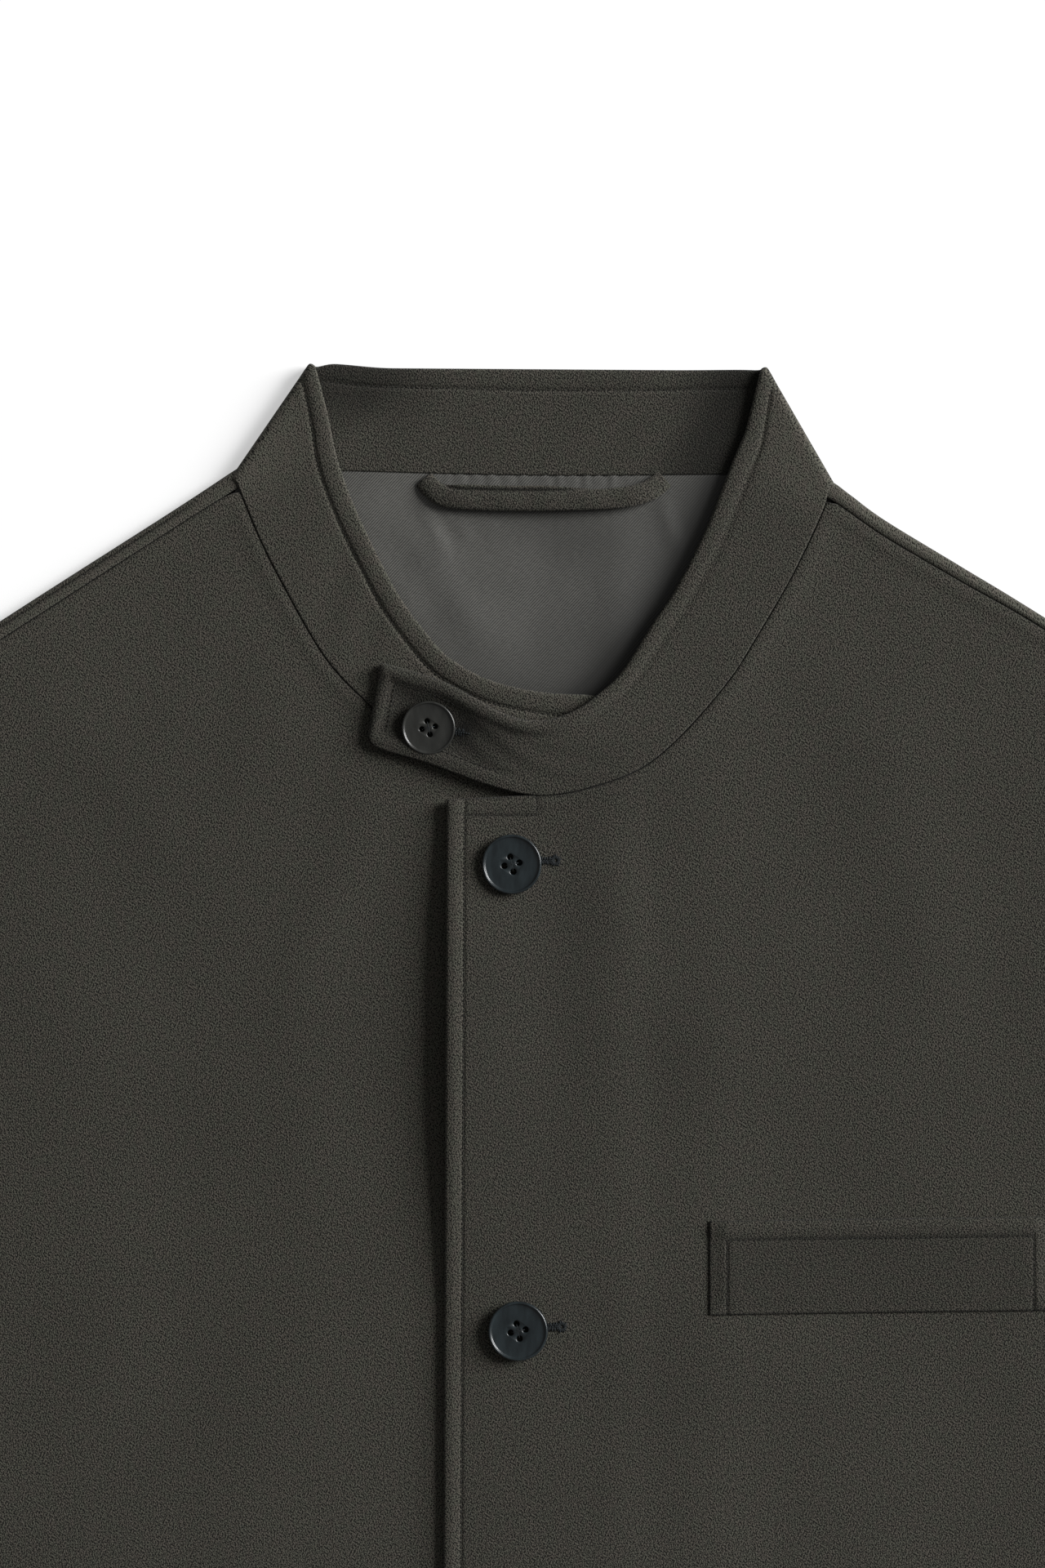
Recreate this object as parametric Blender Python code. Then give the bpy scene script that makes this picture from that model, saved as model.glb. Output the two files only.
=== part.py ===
"""A stand collar overshirt in wool crepe, buttoned up and laid flat on its back.

X runs across the body, Y from the hem towards the collar and Z up from the surface it lies on.
The tables are in millimetres in the garment's own plan, with Y = 0 at the back neck seam, and the
empty that carries every piece moves that plan so that the origin is under the middle of the whole.
"""

import math
from collections import namedtuple

import bmesh
import bpy
import numpy as np

# Driving dimensions, in metres
MM = 0.001
BODY_LENGTH = 0.720
COLLAR_RISE = 0.0375
CLOTH = 0.0014
LINING = 0.0010
SEAM_GAP = 0.0005
LAYER_GAP = 0.0003
COLLAR_THICKNESS = 0.0024
COLLAR_FOLD_RADIUS = 0.0016
COLLAR_BACK_BOW = 0.0020
FACING_THICKNESS = 0.0008
FACING_EDGE = (0.030, 0.045)
PLACKET_EDGE_HEM_X = -0.0255
UNDER_EDGE_X = 0.0200
FRONT_LOW = 0.0019
FRONT_LIFT = 0.0012
FRONT_LIFT_EDGE = (0.287, 0.170)
OVERLAP_LIFT = 0.0018
OVERLAP_LIFT_EDGE = (0.120, 0.030)
NECK_LEAN = 0.23
NECK_LEAN_REACH = 0.020
LINING_DEPTH = 0.190
LINING_REACH = ((-0.150, -0.120), (0.125, 0.155))
LINING_SHOULDER_INSET = 0.009
SLEEVE_RISE = 0.0019
SLEEVE_PUFF = 0.0010
WELT_SIZE = (0.115, 0.0316)
WELT_LEFT_TOP = (0.0627, -0.2493)
WELT_TILT = math.radians(0.7)
LOOP_WIDTH = 0.0070
LOOP_THICKNESS = 0.0020
FRONT_BUTTON = 0.020
COLLAR_BUTTON = 0.018
FRONT_BUTTON_X = (-0.0036, -0.0015, -0.0018, -0.0022)
FRONT_BUTTON_TOP_Y = -0.1296
FRONT_BUTTON_PITCH = 0.1563
COLLAR_BUTTON_PLACE = (-0.0315, -0.0838)
BUTTON_TURN = math.radians(12)

# How finely each piece is faceted
SHOULDER_COLUMNS = 7
COLLAR_STEPS = 2
COLLAR_BACK_SECTIONS = 12
FOLD_STEPS = 6
SLEEVE_RINGS = 13
SLEEVE_EDGE_STEPS = 4
SLEEVE_STEPS = 2
LINING_ROWS = 5
LOOP_STEPS = 2
WELT_COLUMNS = 9
WELT_ROWS = 3
BUTTON_SIDES = 24

# Colours of the finishes, as linear red, green and blue
WOOL = (0.047, 0.045, 0.037)
SATIN = (0.085, 0.084, 0.076)
HORN = (0.013, 0.016, 0.018)

# A collar section: plan of the edge sewn to the body, plan of the free edge, heights of the band's middle
Section = namedtuple("Section", "seam_x seam_y top_x top_y seam_z top_z")
UNDER_COLLAR = (
    Section(20.0, -100.0, 23.5, -73.2, 4.2, 6.6),
    Section(8.0, -99.5, 10.0, -72.3, 4.2, 6.7),
    Section(-8.0, -97.0, -3.0, -70.2, 4.2, 6.8),
    Section(-25.0, -91.5, -13.5, -66.8, 4.2, 6.8),
    Section(-40.0, -84.5, -23.6, -61.1, 4.2, 6.7),
    Section(-51.0, -76.4, -30.0, -54.9, 4.2, 6.5),
    Section(-66.3, -60.3, -41.9, -38.9, 4.2, 6.2),
    Section(-81.4, -34.0, -53.5, -16.0, 4.3, 5.4),
    Section(-88.5, -19.7, -59.0, -3.0, 4.3, 5.0),
    Section(-93.0, -9.0, -63.0, 7.5, 4.4, 4.6),
    Section(-94.6, -4.5, -66.0, 19.0, 4.4, 4.4),
)
OVER_COLLAR = (
    Section(102.4, -6.5, 75.5, 17.0, 4.4, 4.4),
    Section(99.5, -14.0, 70.5, 5.5, 4.5, 4.8),
    Section(90.4, -32.9, 61.5, -17.5, 4.9, 6.5),
    Section(78.1, -54.0, 51.3, -37.5, 5.3, 7.8),
    Section(69.0, -68.2, 43.5, -49.2, 5.7, 8.6),
    Section(54.0, -85.5, 33.2, -65.3, 6.2, 9.4),
    Section(41.6, -96.2, 25.0, -72.9, 6.6, 9.8),
    Section(29.6, -101.7, 17.5, -78.1, 6.8, 10.0),
    Section(14.2, -105.8, 9.0, -81.2, 6.9, 10.0),
    Section(2.2, -106.3, 0.0, -81.1, 7.0, 10.0),
    Section(-11.5, -103.0, -8.5, -78.1, 7.0, 9.9),
    Section(-23.0, -98.9, -17.3, -73.2, 7.0, 9.6),
    Section(-34.5, -94.8, -27.4, -68.0, 7.0, 9.2),
    Section(-45.5, -91.6, -40.5, -63.8, 6.9, 8.8),
    Section(-49.3, -89.4, -44.5, -62.6, 6.9, 8.7),
    Section(-51.0, -86.0, -46.6, -62.2, 6.9, 8.6),
)

# The collar's and the hanger loop's outlines across the strip, as shares of half their width and thickness
Outline = namedtuple("Outline", "width depth")
COLLAR_OUTLINE = (
    Outline(0.00, -1.0),
    Outline(0.50, -1.0),
    Outline(0.96, -1.0),
    Outline(1.00, -0.5),
    Outline(1.00, 0.5),
    Outline(0.96, 1.0),
    Outline(0.50, 1.0),
    Outline(0.00, 1.0),
)
LOOP_OUTLINE = (
    Outline(-1.0, -0.4),
    Outline(-0.8, -1.0),
    Outline(0.8, -1.0),
    Outline(1.0, -0.4),
    Outline(1.0, 0.4),
    Outline(0.8, 1.0),
    Outline(-0.8, 1.0),
    Outline(-1.0, 0.4),
)

# The outer edge of a fold in the collar band, from its seam edge to its free edge
Fold = namedtuple("Fold", "seam_x seam_y top_x top_y")
LEFT_FOLD = Fold(-97.2, -0.3, -71.9, 37.5)
RIGHT_FOLD = Fold(104.1, -1.9, 81.0, 37.0)

# A shoulder, from the neck to the tip: where the back rolls over and where it meets the front
Shoulder = namedtuple("Shoulder", "x roll_y seam_y")
LEFT_SHOULDER = (
    Shoulder(-97.6, 1.2, -5.0),
    Shoulder(-118.0, -11.6, -17.6),
    Shoulder(-175.4, -49.0, -54.5),
    Shoulder(-245.0, -94.5, -99.5),
)
RIGHT_SHOULDER = (
    Shoulder(104.6, -2.6, -8.6),
    Shoulder(122.0, -12.6, -19.0),
    Shoulder(175.4, -46.3, -51.0),
    Shoulder(245.0, -91.0, -95.5),
)

# The top of the over front beside the collar's seam, from the edge with the buttonholes
PlacketTop = namedtuple("PlacketTop", "x y")
PLACKET_TOP = (PlacketTop(-24.1, -108.0), PlacketTop(-11.0, -107.4))

# Half of the body's outline from the hem to the top of the armhole, and the rows on the way to the next point
Side = namedtuple("Side", "x y rows")
BODY_SIDE = (
    Side(284.0, -720.0, 3),
    Side(285.5, -520.0, 3),
    Side(287.0, -322.0, 2),
    Side(268.0, -283.0, 2),
    Side(253.0, -225.0, 2),
    Side(247.0, -160.0, 2),
    Side(245.0, -99.5, 0),
)
ARMHOLE_START = sum(side.rows for side in BODY_SIDE[:2])
PANEL_ROWS = sum(side.rows for side in BODY_SIDE) + 1

# The sleeve's fold at the outside and its seam at the inside, from the armhole to the cuff
Reach = namedtuple("Reach", "outer_x outer_y inner_x inner_y")
SLEEVE = (
    Reach(245.7, -92.5, 287.7, -322.6),
    Reach(292.0, -120.0, 303.0, -368.0),
    Reach(350.0, -170.0, 319.0, -421.0),
    Reach(402.0, -242.0, 333.0, -474.0),
    Reach(441.0, -348.0, 348.0, -532.0),
    Reach(473.0, -498.0, 365.0, -601.0),
    Reach(500.0, -648.0, 379.0, -665.0),
)

# The middle of the hanger loop, from one end in the neck seam to the other
LoopPoint = namedtuple("LoopPoint", "x y z")
HANGER = (
    LoopPoint(-33.0, -2.0, 4.2),
    LoopPoint(-27.0, -5.6, 4.5),
    LoopPoint(-14.0, -7.4, 5.2),
    LoopPoint(8.0, -7.6, 5.4),
    LoopPoint(30.0, -6.8, 5.2),
    LoopPoint(42.0, -5.0, 4.6),
    LoopPoint(48.0, -2.2, 4.2),
)

# A button turned from a blank: radius and height as shares of its radius
Turned = namedtuple("Turned", "radius height")
BUTTON_PROFILE = (
    Turned(0.72, 0.00),
    Turned(0.93, 0.06),
    Turned(1.00, 0.16),
    Turned(0.98, 0.25),
    Turned(0.92, 0.28),
    Turned(0.86, 0.26),
    Turned(0.79, 0.20),
)
BUTTON_HOLE_RADIUS = 0.10
BUTTON_HOLE_SPREAD = 0.255
BUTTON_HOLE_SIDES = 8


def clear_scene():
    """Removes whatever the file opened with."""
    for thing in list(bpy.data.objects):
        bpy.data.objects.remove(thing)


def smooth_rows(rows, steps):
    """The rows of a table, in metres, with more between them on a Catmull-Rom curve."""
    table = np.array(rows, float) * MM
    padded = np.vstack([2 * table[0] - table[1], table, 2 * table[-1] - table[-2]])
    found = []
    for before, start, end, after in zip(padded, padded[1:], padded[2:], padded[3:]):
        for t in np.arange(steps) / steps:
            linear = (end - before) * t
            square = (2 * before - 5 * start + 4 * end - after) * t**2
            cube = (3 * start - before - 3 * end + after) * t**3
            found.append(start + 0.5 * (linear + square + cube))
    found.append(table[-1])
    return np.array(found)


def ease(value, edge):
    """0 up to the edge's first value and 1 from its second, with a soft passage between them."""
    t = np.clip((value - edge[0]) / (edge[1] - edge[0]), 0, 1)
    return t * t * (3 - 2 * t)


def unit(vectors):
    """Vectors of length one in the same directions."""
    return vectors / np.linalg.norm(vectors, axis=-1, keepdims=True)


def under_front_low(x):
    """Height of the under front's lower face."""
    return FRONT_LOW + FRONT_LIFT * ease(np.abs(x), FRONT_LIFT_EDGE)


def over_front_low(x):
    """Height of the over front's lower face, which climbs over the under front near the middle."""
    return under_front_low(x) + OVERLAP_LIFT * ease(x, OVERLAP_LIFT_EDGE)


def over_front_thickness(x):
    """The over front's wall, with its facing turned under along the buttonholes."""
    return CLOTH + FACING_THICKNESS * (1 - ease(x, FACING_EDGE))


def over_front_high(x):
    """Height of the over front's upper face, which carries the welt and the buttons."""
    return over_front_low(x) + over_front_thickness(x)


def collar_fold(fold, downwards):
    """Sections of the band's middle round one fold, turned about a line inside its outer edge."""
    seam = np.array([fold.seam_x, fold.seam_y, 0]) * MM
    top = np.array([fold.top_x, fold.top_y, 0]) * MM
    line = unit(top - seam)
    outward = np.array([line[1], -line[0], 0]) * math.copysign(1, fold.seam_x)
    inset = COLLAR_FOLD_RADIUS + COLLAR_THICKNESS / 2
    lift = np.array([0, 0, inset])
    turns = np.linspace(0, math.pi, FOLD_STEPS + 1)
    if not downwards:
        turns = turns[::-1]
    swing = np.outer(np.sin(turns), outward)
    swing[:, 2] = np.cos(turns)
    round_line = lift - inset * outward + COLLAR_FOLD_RADIUS * swing
    return seam + round_line, top + round_line


def collar_front(rows):
    """Seam and free edges of the band's middle where it lies over the fronts."""
    table = smooth_rows(rows, COLLAR_STEPS)
    return table[:, [0, 1, 4]], table[:, [2, 3, 5]]


def collar_edges():
    """Seam and free edges of the band's middle, from its hidden end round the neck to the tab."""
    under_seam, under_top = collar_front(UNDER_COLLAR)
    left_seam, left_top = collar_fold(LEFT_FOLD, True)
    right_seam, right_top = collar_fold(RIGHT_FOLD, False)
    over_seam, over_top = collar_front(OVER_COLLAR)
    share = np.linspace(0, 1, COLLAR_BACK_SECTIONS + 1)[1:-1, None]
    bow = np.array([0, COLLAR_BACK_BOW, 0]) * np.sin(math.pi * share)
    back_seam = left_seam[-1] * (1 - share) + right_seam[0] * share + bow
    back_top = left_top[-1] * (1 - share) + right_top[0] * share
    seam = np.vstack([under_seam, left_seam, back_seam, right_seam, over_seam])
    top = np.vstack([under_top, left_top, back_top, right_top, over_top])
    return seam, top


def seam_line(rows, gap):
    """Plan of a front's neck edge: the collar's seam points moved away from its free edge by a gap."""
    seam, top = collar_front(rows)
    return (seam - unit(top - seam) * gap)[:, :2]


def back_neck_line():
    """Plan of the back's neck edge, from the left fold of the collar to the right one."""
    left = collar_fold(LEFT_FOLD, True)[0][-1]
    right = collar_fold(RIGHT_FOLD, False)[0][0]
    share = np.linspace(0, 1, COLLAR_BACK_SECTIONS + 1)[:, None]
    bow = np.array([0, COLLAR_BACK_BOW, 0]) * np.sin(math.pi * share)
    line = left * (1 - share) + right * share + bow
    return line[:, :2] - np.array([0, SEAM_GAP])


def shoulder_lines(rows):
    """Plan points of the roll and of the seam along one shoulder, from the neck to the tip."""
    table = np.array(rows, float) * MM
    x = np.linspace(table[0, 0], table[-1, 0], SHOULDER_COLUMNS)
    order = np.argsort(table[:, 0])
    roll = np.interp(x, table[order, 0], table[order, 1])
    seam = np.interp(x, table[order, 0], table[order, 2])
    return np.stack([x, roll], axis=1), np.stack([x, seam], axis=1)


def front_top(collar_rows, shoulder_rows):
    """Plan of a front's top edge: up the collar seam from the middle, then out along the shoulder seam."""
    neck = seam_line(collar_rows, SEAM_GAP)
    if neck[0, 1] > neck[-1, 1]:
        neck = neck[::-1]
    seam = shoulder_lines(shoulder_rows)[1]
    corner_y = seam[0, 1]
    corner_x = np.interp(corner_y, neck[:, 1], neck[:, 0])
    below = neck[neck[:, 1] < corner_y - SEAM_GAP]
    return np.vstack([below, [corner_x, corner_y], seam[1:]])


def body_side(sign, top):
    """The body's outline at one side, a point for each row from the hem up to this top corner."""
    corners = np.array([(side.x * sign, side.y) for side in BODY_SIDE]) * MM
    corners[-1] = top
    rows = []
    for side, start, end in zip(BODY_SIDE, corners, corners[1:]):
        share = np.arange(side.rows)[:, None] / side.rows
        rows.append(start * (1 - share) + end * share)
    return np.vstack(rows + [corners[-1:]])


def rise_of(edge):
    """The share of an edge's length that lies below each of its points."""
    steps = np.linalg.norm(np.diff(edge, axis=0), axis=1)
    return np.concatenate([[0], np.cumsum(steps)]) / steps.sum()


def straight_edge(start, end, beside):
    """A straight edge with a point for each row of the edge at the panel's other side."""
    climb = rise_of(beside)[:, None]
    return start * (1 - climb) + end * climb


def panel_plan(top, left, right):
    """Plan of a panel as [column, row]: columns from the hem to its top edge, bent to follow its sides."""
    share = np.linspace(0, 1, len(top))[:, None, None]
    climb = rise_of(left)[:, None]
    hem = left[0] * (1 - share) + right[0] * share
    straight = hem * (1 - climb) + top[:, None] * climb
    left_bend = left - (left[0] * (1 - climb) + left[-1] * climb)
    right_bend = right - (right[0] * (1 - climb) + right[-1] * climb)
    return straight + (1 - share) * left_bend + share * right_bend


def at_height(plan, height):
    """Plan points raised to a height."""
    return np.concatenate([plan, np.broadcast_to(height, plan.shape[:-1])[..., None]], axis=-1)


def wall(outer, inner, keep=None, ring=False):
    """Points and faces of a closed wall between two grids, with a rim at every edge of what is kept."""
    columns, rows = outer.shape[:2]
    number = np.arange(columns * rows).reshape(columns, rows)
    inside = columns * rows
    if ring:
        number = np.vstack([number, number[:1]])
    if keep is None:
        keep = np.ones((len(number) - 1, rows - 1), bool)
    faces = []
    edges = {}
    for column, row in np.argwhere(keep):
        near = number[column, row], number[column + 1, row]
        far = number[column + 1, row + 1], number[column, row + 1]
        corners = [int(corner) for corner in near + far]
        faces.append(corners)
        faces.append([corner + inside for corner in reversed(corners)])
        for start, end in zip(corners, corners[1:] + corners[:1]):
            if (end, start) in edges:
                del edges[end, start]
            else:
                edges[start, end] = True
    for start, end in edges:
        faces.append([end, start, start + inside, end + inside])
    points = np.concatenate([outer.reshape(-1, 3), inner.reshape(-1, 3)])
    return points, faces


def loft(rings):
    """Points and faces of a closed solid through rings of equal count, capped at both ends."""
    count, around = rings.shape[:2]
    faces = [list(range(around)), list(range((count - 1) * around, count * around))]
    for ring in range(count - 1):
        for side in range(around):
            beside = (side + 1) % around
            near = ring * around
            far = near + around
            faces.append([near + side, near + beside, far + beside, far + side])
    return rings.reshape(-1, 3), faces


def finish(name, colour, roughness):
    """A plain finish of one colour."""
    material = bpy.data.materials.new(name + "_finish")
    material.use_nodes = True
    shader = material.node_tree.nodes["Principled BSDF"]
    shader.inputs["Base Color"].default_value = (*colour, 1)
    shader.inputs["Roughness"].default_value = roughness
    shader.inputs["Metallic"].default_value = 0
    return material


def make_mesh(name, points, faces, smooth_below=math.radians(40)):
    """A mesh of these faces, all pointing out, with loose points dropped."""
    mesh = bpy.data.meshes.new(name)
    mesh.from_pydata(points.tolist(), [], faces)
    shape = bmesh.new()
    shape.from_mesh(mesh)
    loose = [corner for corner in shape.verts if not corner.link_faces]
    bmesh.ops.delete(shape, geom=loose, context="VERTS")
    bmesh.ops.recalc_face_normals(shape, faces=shape.faces)
    shape.to_mesh(mesh)
    shape.free()
    mesh.shade_smooth()
    mesh.set_sharp_from_angle(angle=smooth_below)
    return mesh


def add_piece(name, mesh, garment, colour, roughness):
    """One named piece of the garment, with a finish of its own."""
    piece = bpy.data.objects.new(name, mesh)
    bpy.context.collection.objects.link(piece)
    piece.parent = garment
    mesh.materials.append(finish(name, colour, roughness))
    return piece


def back_panel():
    """The back, whose shoulders roll over to the front; the rows past the roll leave out the neck."""
    left_roll, left_seam = shoulder_lines(LEFT_SHOULDER)
    right_roll, right_seam = shoulder_lines(RIGHT_SHOULDER)
    neck = back_neck_line()
    edge = np.vstack([left_roll[::-1], neck, right_roll])
    seam = np.vstack([left_seam[::-1], neck, right_seam])
    shoulder = np.ones(len(edge), bool)
    shoulder[SHOULDER_COLUMNS:-SHOULDER_COLUMNS] = False
    low = CLOTH / 2
    front_middle = np.where(edge[:, 0] < 0, under_front_low(edge[:, 0]), over_front_low(edge[:, 0])) + low
    radius = (front_middle - low) / 2
    slope = np.gradient(edge[:, 1], edge[:, 0])
    stretch = np.hypot(1, slope)
    outward = unit(np.stack([-slope, np.ones(len(slope)), np.zeros(len(slope))], axis=1))
    top = edge.copy()
    top[shoulder, 1] -= ((radius + low) * stretch)[shoulder]
    plan = panel_plan(top, body_side(-1, top[0]), body_side(1, top[-1]))
    down = np.array([0, 0, -1.0])
    middle = [at_height(plan, low)]
    facing = [np.broadcast_to(down, middle[0].shape)]
    for turn in np.linspace(0, math.pi, FOLD_STEPS + 1)[1:]:
        roll = top + np.stack([np.zeros(len(top)), radius * stretch * math.sin(turn)], axis=1)
        height = low + radius * (1 - math.cos(turn))
        middle.append(at_height(roll, height)[:, None])
        facing.append((outward * math.sin(turn) + down * math.cos(turn))[:, None])
    strip = np.stack([top[:, 0], seam[:, 1] + SEAM_GAP * stretch], axis=1)
    reach = np.where(top[:, 0] < 0, left_roll[0, 0] - top[:, 0], top[:, 0] - right_roll[0, 0])
    lean = NECK_LEAN * (edge[:, 1] - strip[:, 1]) * np.exp(-np.maximum(reach, 0) / NECK_LEAN_REACH)
    strip[:, 0] -= np.sign(top[:, 0]) * lean
    middle.append(at_height(strip, front_middle)[:, None])
    facing.append(-facing[0][:, :1])
    middle = np.concatenate(middle, axis=1)
    facing = np.concatenate(facing, axis=1)
    keep = np.ones((middle.shape[0] - 1, middle.shape[1] - 1), bool)
    keep[~(shoulder[1:] & shoulder[:-1]), PANEL_ROWS - 1 :] = False
    return wall(middle + facing * low, middle - facing * low, keep)


def front_panel(plan, low, thickness):
    """A front from its plan: a wall whose lower face follows a height field."""
    lower = at_height(plan, low(plan[..., 0]))
    upper = at_height(plan, low(plan[..., 0]) + thickness(plan[..., 0]))
    return wall(upper, lower)


def under_front():
    """The front that lies under, at the left, from its side to past the middle."""
    top = front_top(UNDER_COLLAR, LEFT_SHOULDER)[::-1]
    left = body_side(-1, top[0])
    right = straight_edge(np.array([UNDER_EDGE_X, -BODY_LENGTH]), top[-1], left)
    plan = panel_plan(top, left, right)
    return front_panel(plan, under_front_low, lambda x: np.full_like(x, CLOTH))


def over_front():
    """The front that laps over, from the edge with the buttonholes to its side at the right."""
    sewn = [row for row in OVER_COLLAR if row.seam_x > 0]
    corner = np.array(PLACKET_TOP) * MM
    top = np.vstack([corner, front_top(sewn, RIGHT_SHOULDER)])
    right = body_side(1, top[-1])
    left = straight_edge(np.array([PLACKET_EDGE_HEM_X, -BODY_LENGTH]), top[0], right)
    plan = panel_plan(top, left, right)
    return front_panel(plan, over_front_low, over_front_thickness)


def back_lining():
    """The lining of the upper back, which shows inside the neck, from shoulder to shoulder."""
    neck = back_neck_line()
    x = np.concatenate([LINING_REACH[0], neck[1:-1, 0], LINING_REACH[1]])
    top = np.interp(x, neck[:, 0], neck[:, 1])
    for rows in (LEFT_SHOULDER, RIGHT_SHOULDER):
        table = np.array(rows, float) * MM
        order = np.argsort(table[:, 0])
        roll = np.interp(x, table[order, 0], table[order, 1] - LINING_SHOULDER_INSET)
        beyond = np.abs(x) > abs(table[0, 0])
        top = np.where(beyond & (np.sign(x) == np.sign(table[0, 0])), roll, top)
    rise = np.linspace(0, 1, LINING_ROWS)
    y = -LINING_DEPTH * (1 - rise) + top[:, None] * rise
    plan = np.stack([np.broadcast_to(x[:, None], y.shape), y], axis=-1)
    low = CLOTH + LAYER_GAP
    return wall(at_height(plan, low + LINING), at_height(plan, low))


def sleeve(sign):
    """A sleeve laid flat: rings of one flattened tube from the armhole to the open cuff."""
    rows = smooth_rows(SLEEVE, SLEEVE_STEPS)
    shares = np.linspace(0, 1, len(rows))
    rings = np.linspace(0, 1, SLEEVE_RINGS)
    reach = np.stack([np.interp(rings, shares, axis) for axis in rows.T], axis=1)
    outer = reach[:, :2] * np.array([sign, 1])
    inner = reach[:, 2:] * np.array([sign, 1])
    tip = np.array([BODY_SIDE[-1].x * sign, BODY_SIDE[-1].y]) * MM
    curve = body_side(sign, tip)[:ARMHOLE_START - 1:-1] + np.array([SEAM_GAP * sign, 0])
    curve[0] = outer[0]
    curve[-1] = inner[0]
    across = rise_of(curve)
    chord = outer[0] * (1 - across[:, None]) + inner[0] * across[:, None]
    fade = (1 - rings) ** 2
    half = CLOTH / 2
    radius = SLEEVE_RISE / 2
    inset = radius + half
    plan = outer[:, None] * (1 - across[:, None]) + inner[:, None] * across[:, None]
    plan = plan + fade[:, None, None] * (curve - chord)
    direction = unit(inner - outer)
    plan[:, 0] += direction * inset
    plan[:, -1] -= direction * inset
    puff = SLEEVE_PUFF * np.sin(math.pi * across)
    up = np.array([0, 0, 1.0])
    sideways = np.concatenate([direction, np.zeros((len(direction), 1))], axis=1)
    turns = np.linspace(0, math.pi, SLEEVE_EDGE_STEPS + 1)[1:-1]
    middle = [at_height(plan, half + SLEEVE_RISE + puff)]
    facing = [np.broadcast_to(up, middle[0].shape)]
    for edge, side in ((-1, sideways), (0, -sideways)):
        swing = np.sin(turns)[:, None] * side[:, None]
        lift = np.cos(turns) if edge == -1 else -np.cos(turns)
        turned = swing + lift[:, None] * up
        middle.append(at_height(plan[:, edge], half + radius)[:, None] + radius * turned)
        facing.append(turned)
        if edge == -1:
            middle.append(at_height(plan[:, ::-1], half))
            facing.append(np.broadcast_to(-up, plan.shape[:2] + (3,)))
    middle = np.concatenate(middle, axis=1).swapaxes(0, 1)
    facing = np.concatenate(facing, axis=1).swapaxes(0, 1)
    return wall(middle + facing * half, middle - facing * half, ring=True)


def collar():
    """The collar band: one strip folded at both sides of the neck, whose upper end is the tab."""
    seam, top = collar_edges()
    path = np.gradient((seam + top) / 2, axis=0)
    outside = unit(np.cross(top - seam, path)) * COLLAR_THICKNESS / 2
    rings = [seam + (top - seam) * row.width + outside * row.depth for row in COLLAR_OUTLINE]
    return loft(np.stack(rings, axis=1))


def pocket_welt():
    """The chest pocket's welt, made from the over front's points moved out."""
    columns = np.linspace(0, WELT_SIZE[0], WELT_COLUMNS)
    rows = np.linspace(-WELT_SIZE[1], 0, WELT_ROWS)
    across, down = np.meshgrid(columns, rows, indexing="ij")
    x = WELT_LEFT_TOP[0] + across
    y = WELT_LEFT_TOP[1] + down + across * math.tan(WELT_TILT)
    plan = np.stack([x, y], axis=-1)
    low = over_front_high(x) + LAYER_GAP
    return wall(at_height(plan, low + CLOTH), at_height(plan, low))


def hanger_loop():
    """The hanger loop: a flat strip of folded cloth that lies along the back neck seam."""
    path = smooth_rows(HANGER, LOOP_STEPS)
    forward = unit(np.gradient(path, axis=0))
    beside = unit(np.cross([0, 0, 1.0], forward)) * LOOP_WIDTH / 2
    up = unit(np.cross(forward, beside)) * LOOP_THICKNESS / 2
    return loft(np.stack([path + beside * row.width + up * row.depth for row in LOOP_OUTLINE], axis=1))


def button_mesh(name, diameter):
    """A four-hole button turned about its own axis, with a raised rim, its back at height 0."""
    radius = diameter / 2
    angles = np.arange(BUTTON_SIDES) * 2 * math.pi / BUTTON_SIDES
    circle = np.stack([np.cos(angles), np.sin(angles), np.zeros(BUTTON_SIDES)], axis=1)
    lift = np.array([0, 0, radius])
    rings = np.stack([circle * row.radius * radius + lift * row.height for row in BUTTON_PROFILE])
    blank = bpy.data.objects.new(name + "_blank", make_mesh(name + "_blank", *loft(rings)))
    drills = bmesh.new()
    for quarter in range(4):
        angle = BUTTON_TURN + quarter * math.pi / 2
        drill = bmesh.ops.create_cone(
            drills,
            cap_ends=True,
            segments=BUTTON_HOLE_SIDES,
            radius1=BUTTON_HOLE_RADIUS * radius,
            radius2=BUTTON_HOLE_RADIUS * radius,
            depth=diameter,
        )
        spread = BUTTON_HOLE_SPREAD * radius
        place = (spread * math.cos(angle), spread * math.sin(angle), 0)
        bmesh.ops.translate(drills, verts=drill["verts"], vec=place)
    drill_mesh = bpy.data.meshes.new(name + "_drills")
    drills.to_mesh(drill_mesh)
    drills.free()
    cutter = bpy.data.objects.new(name + "_drills", drill_mesh)
    for helper in (blank, cutter):
        bpy.context.collection.objects.link(helper)
    cut = blank.modifiers.new("thread holes", "BOOLEAN")
    cut.operation = "DIFFERENCE"
    cut.object = cutter
    bpy.context.view_layer.update()
    drilled = bpy.data.meshes.new_from_object(blank.evaluated_get(bpy.context.evaluated_depsgraph_get()))
    drilled.name = name
    for helper in (blank, cutter):
        bpy.data.objects.remove(helper)
    return drilled


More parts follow.
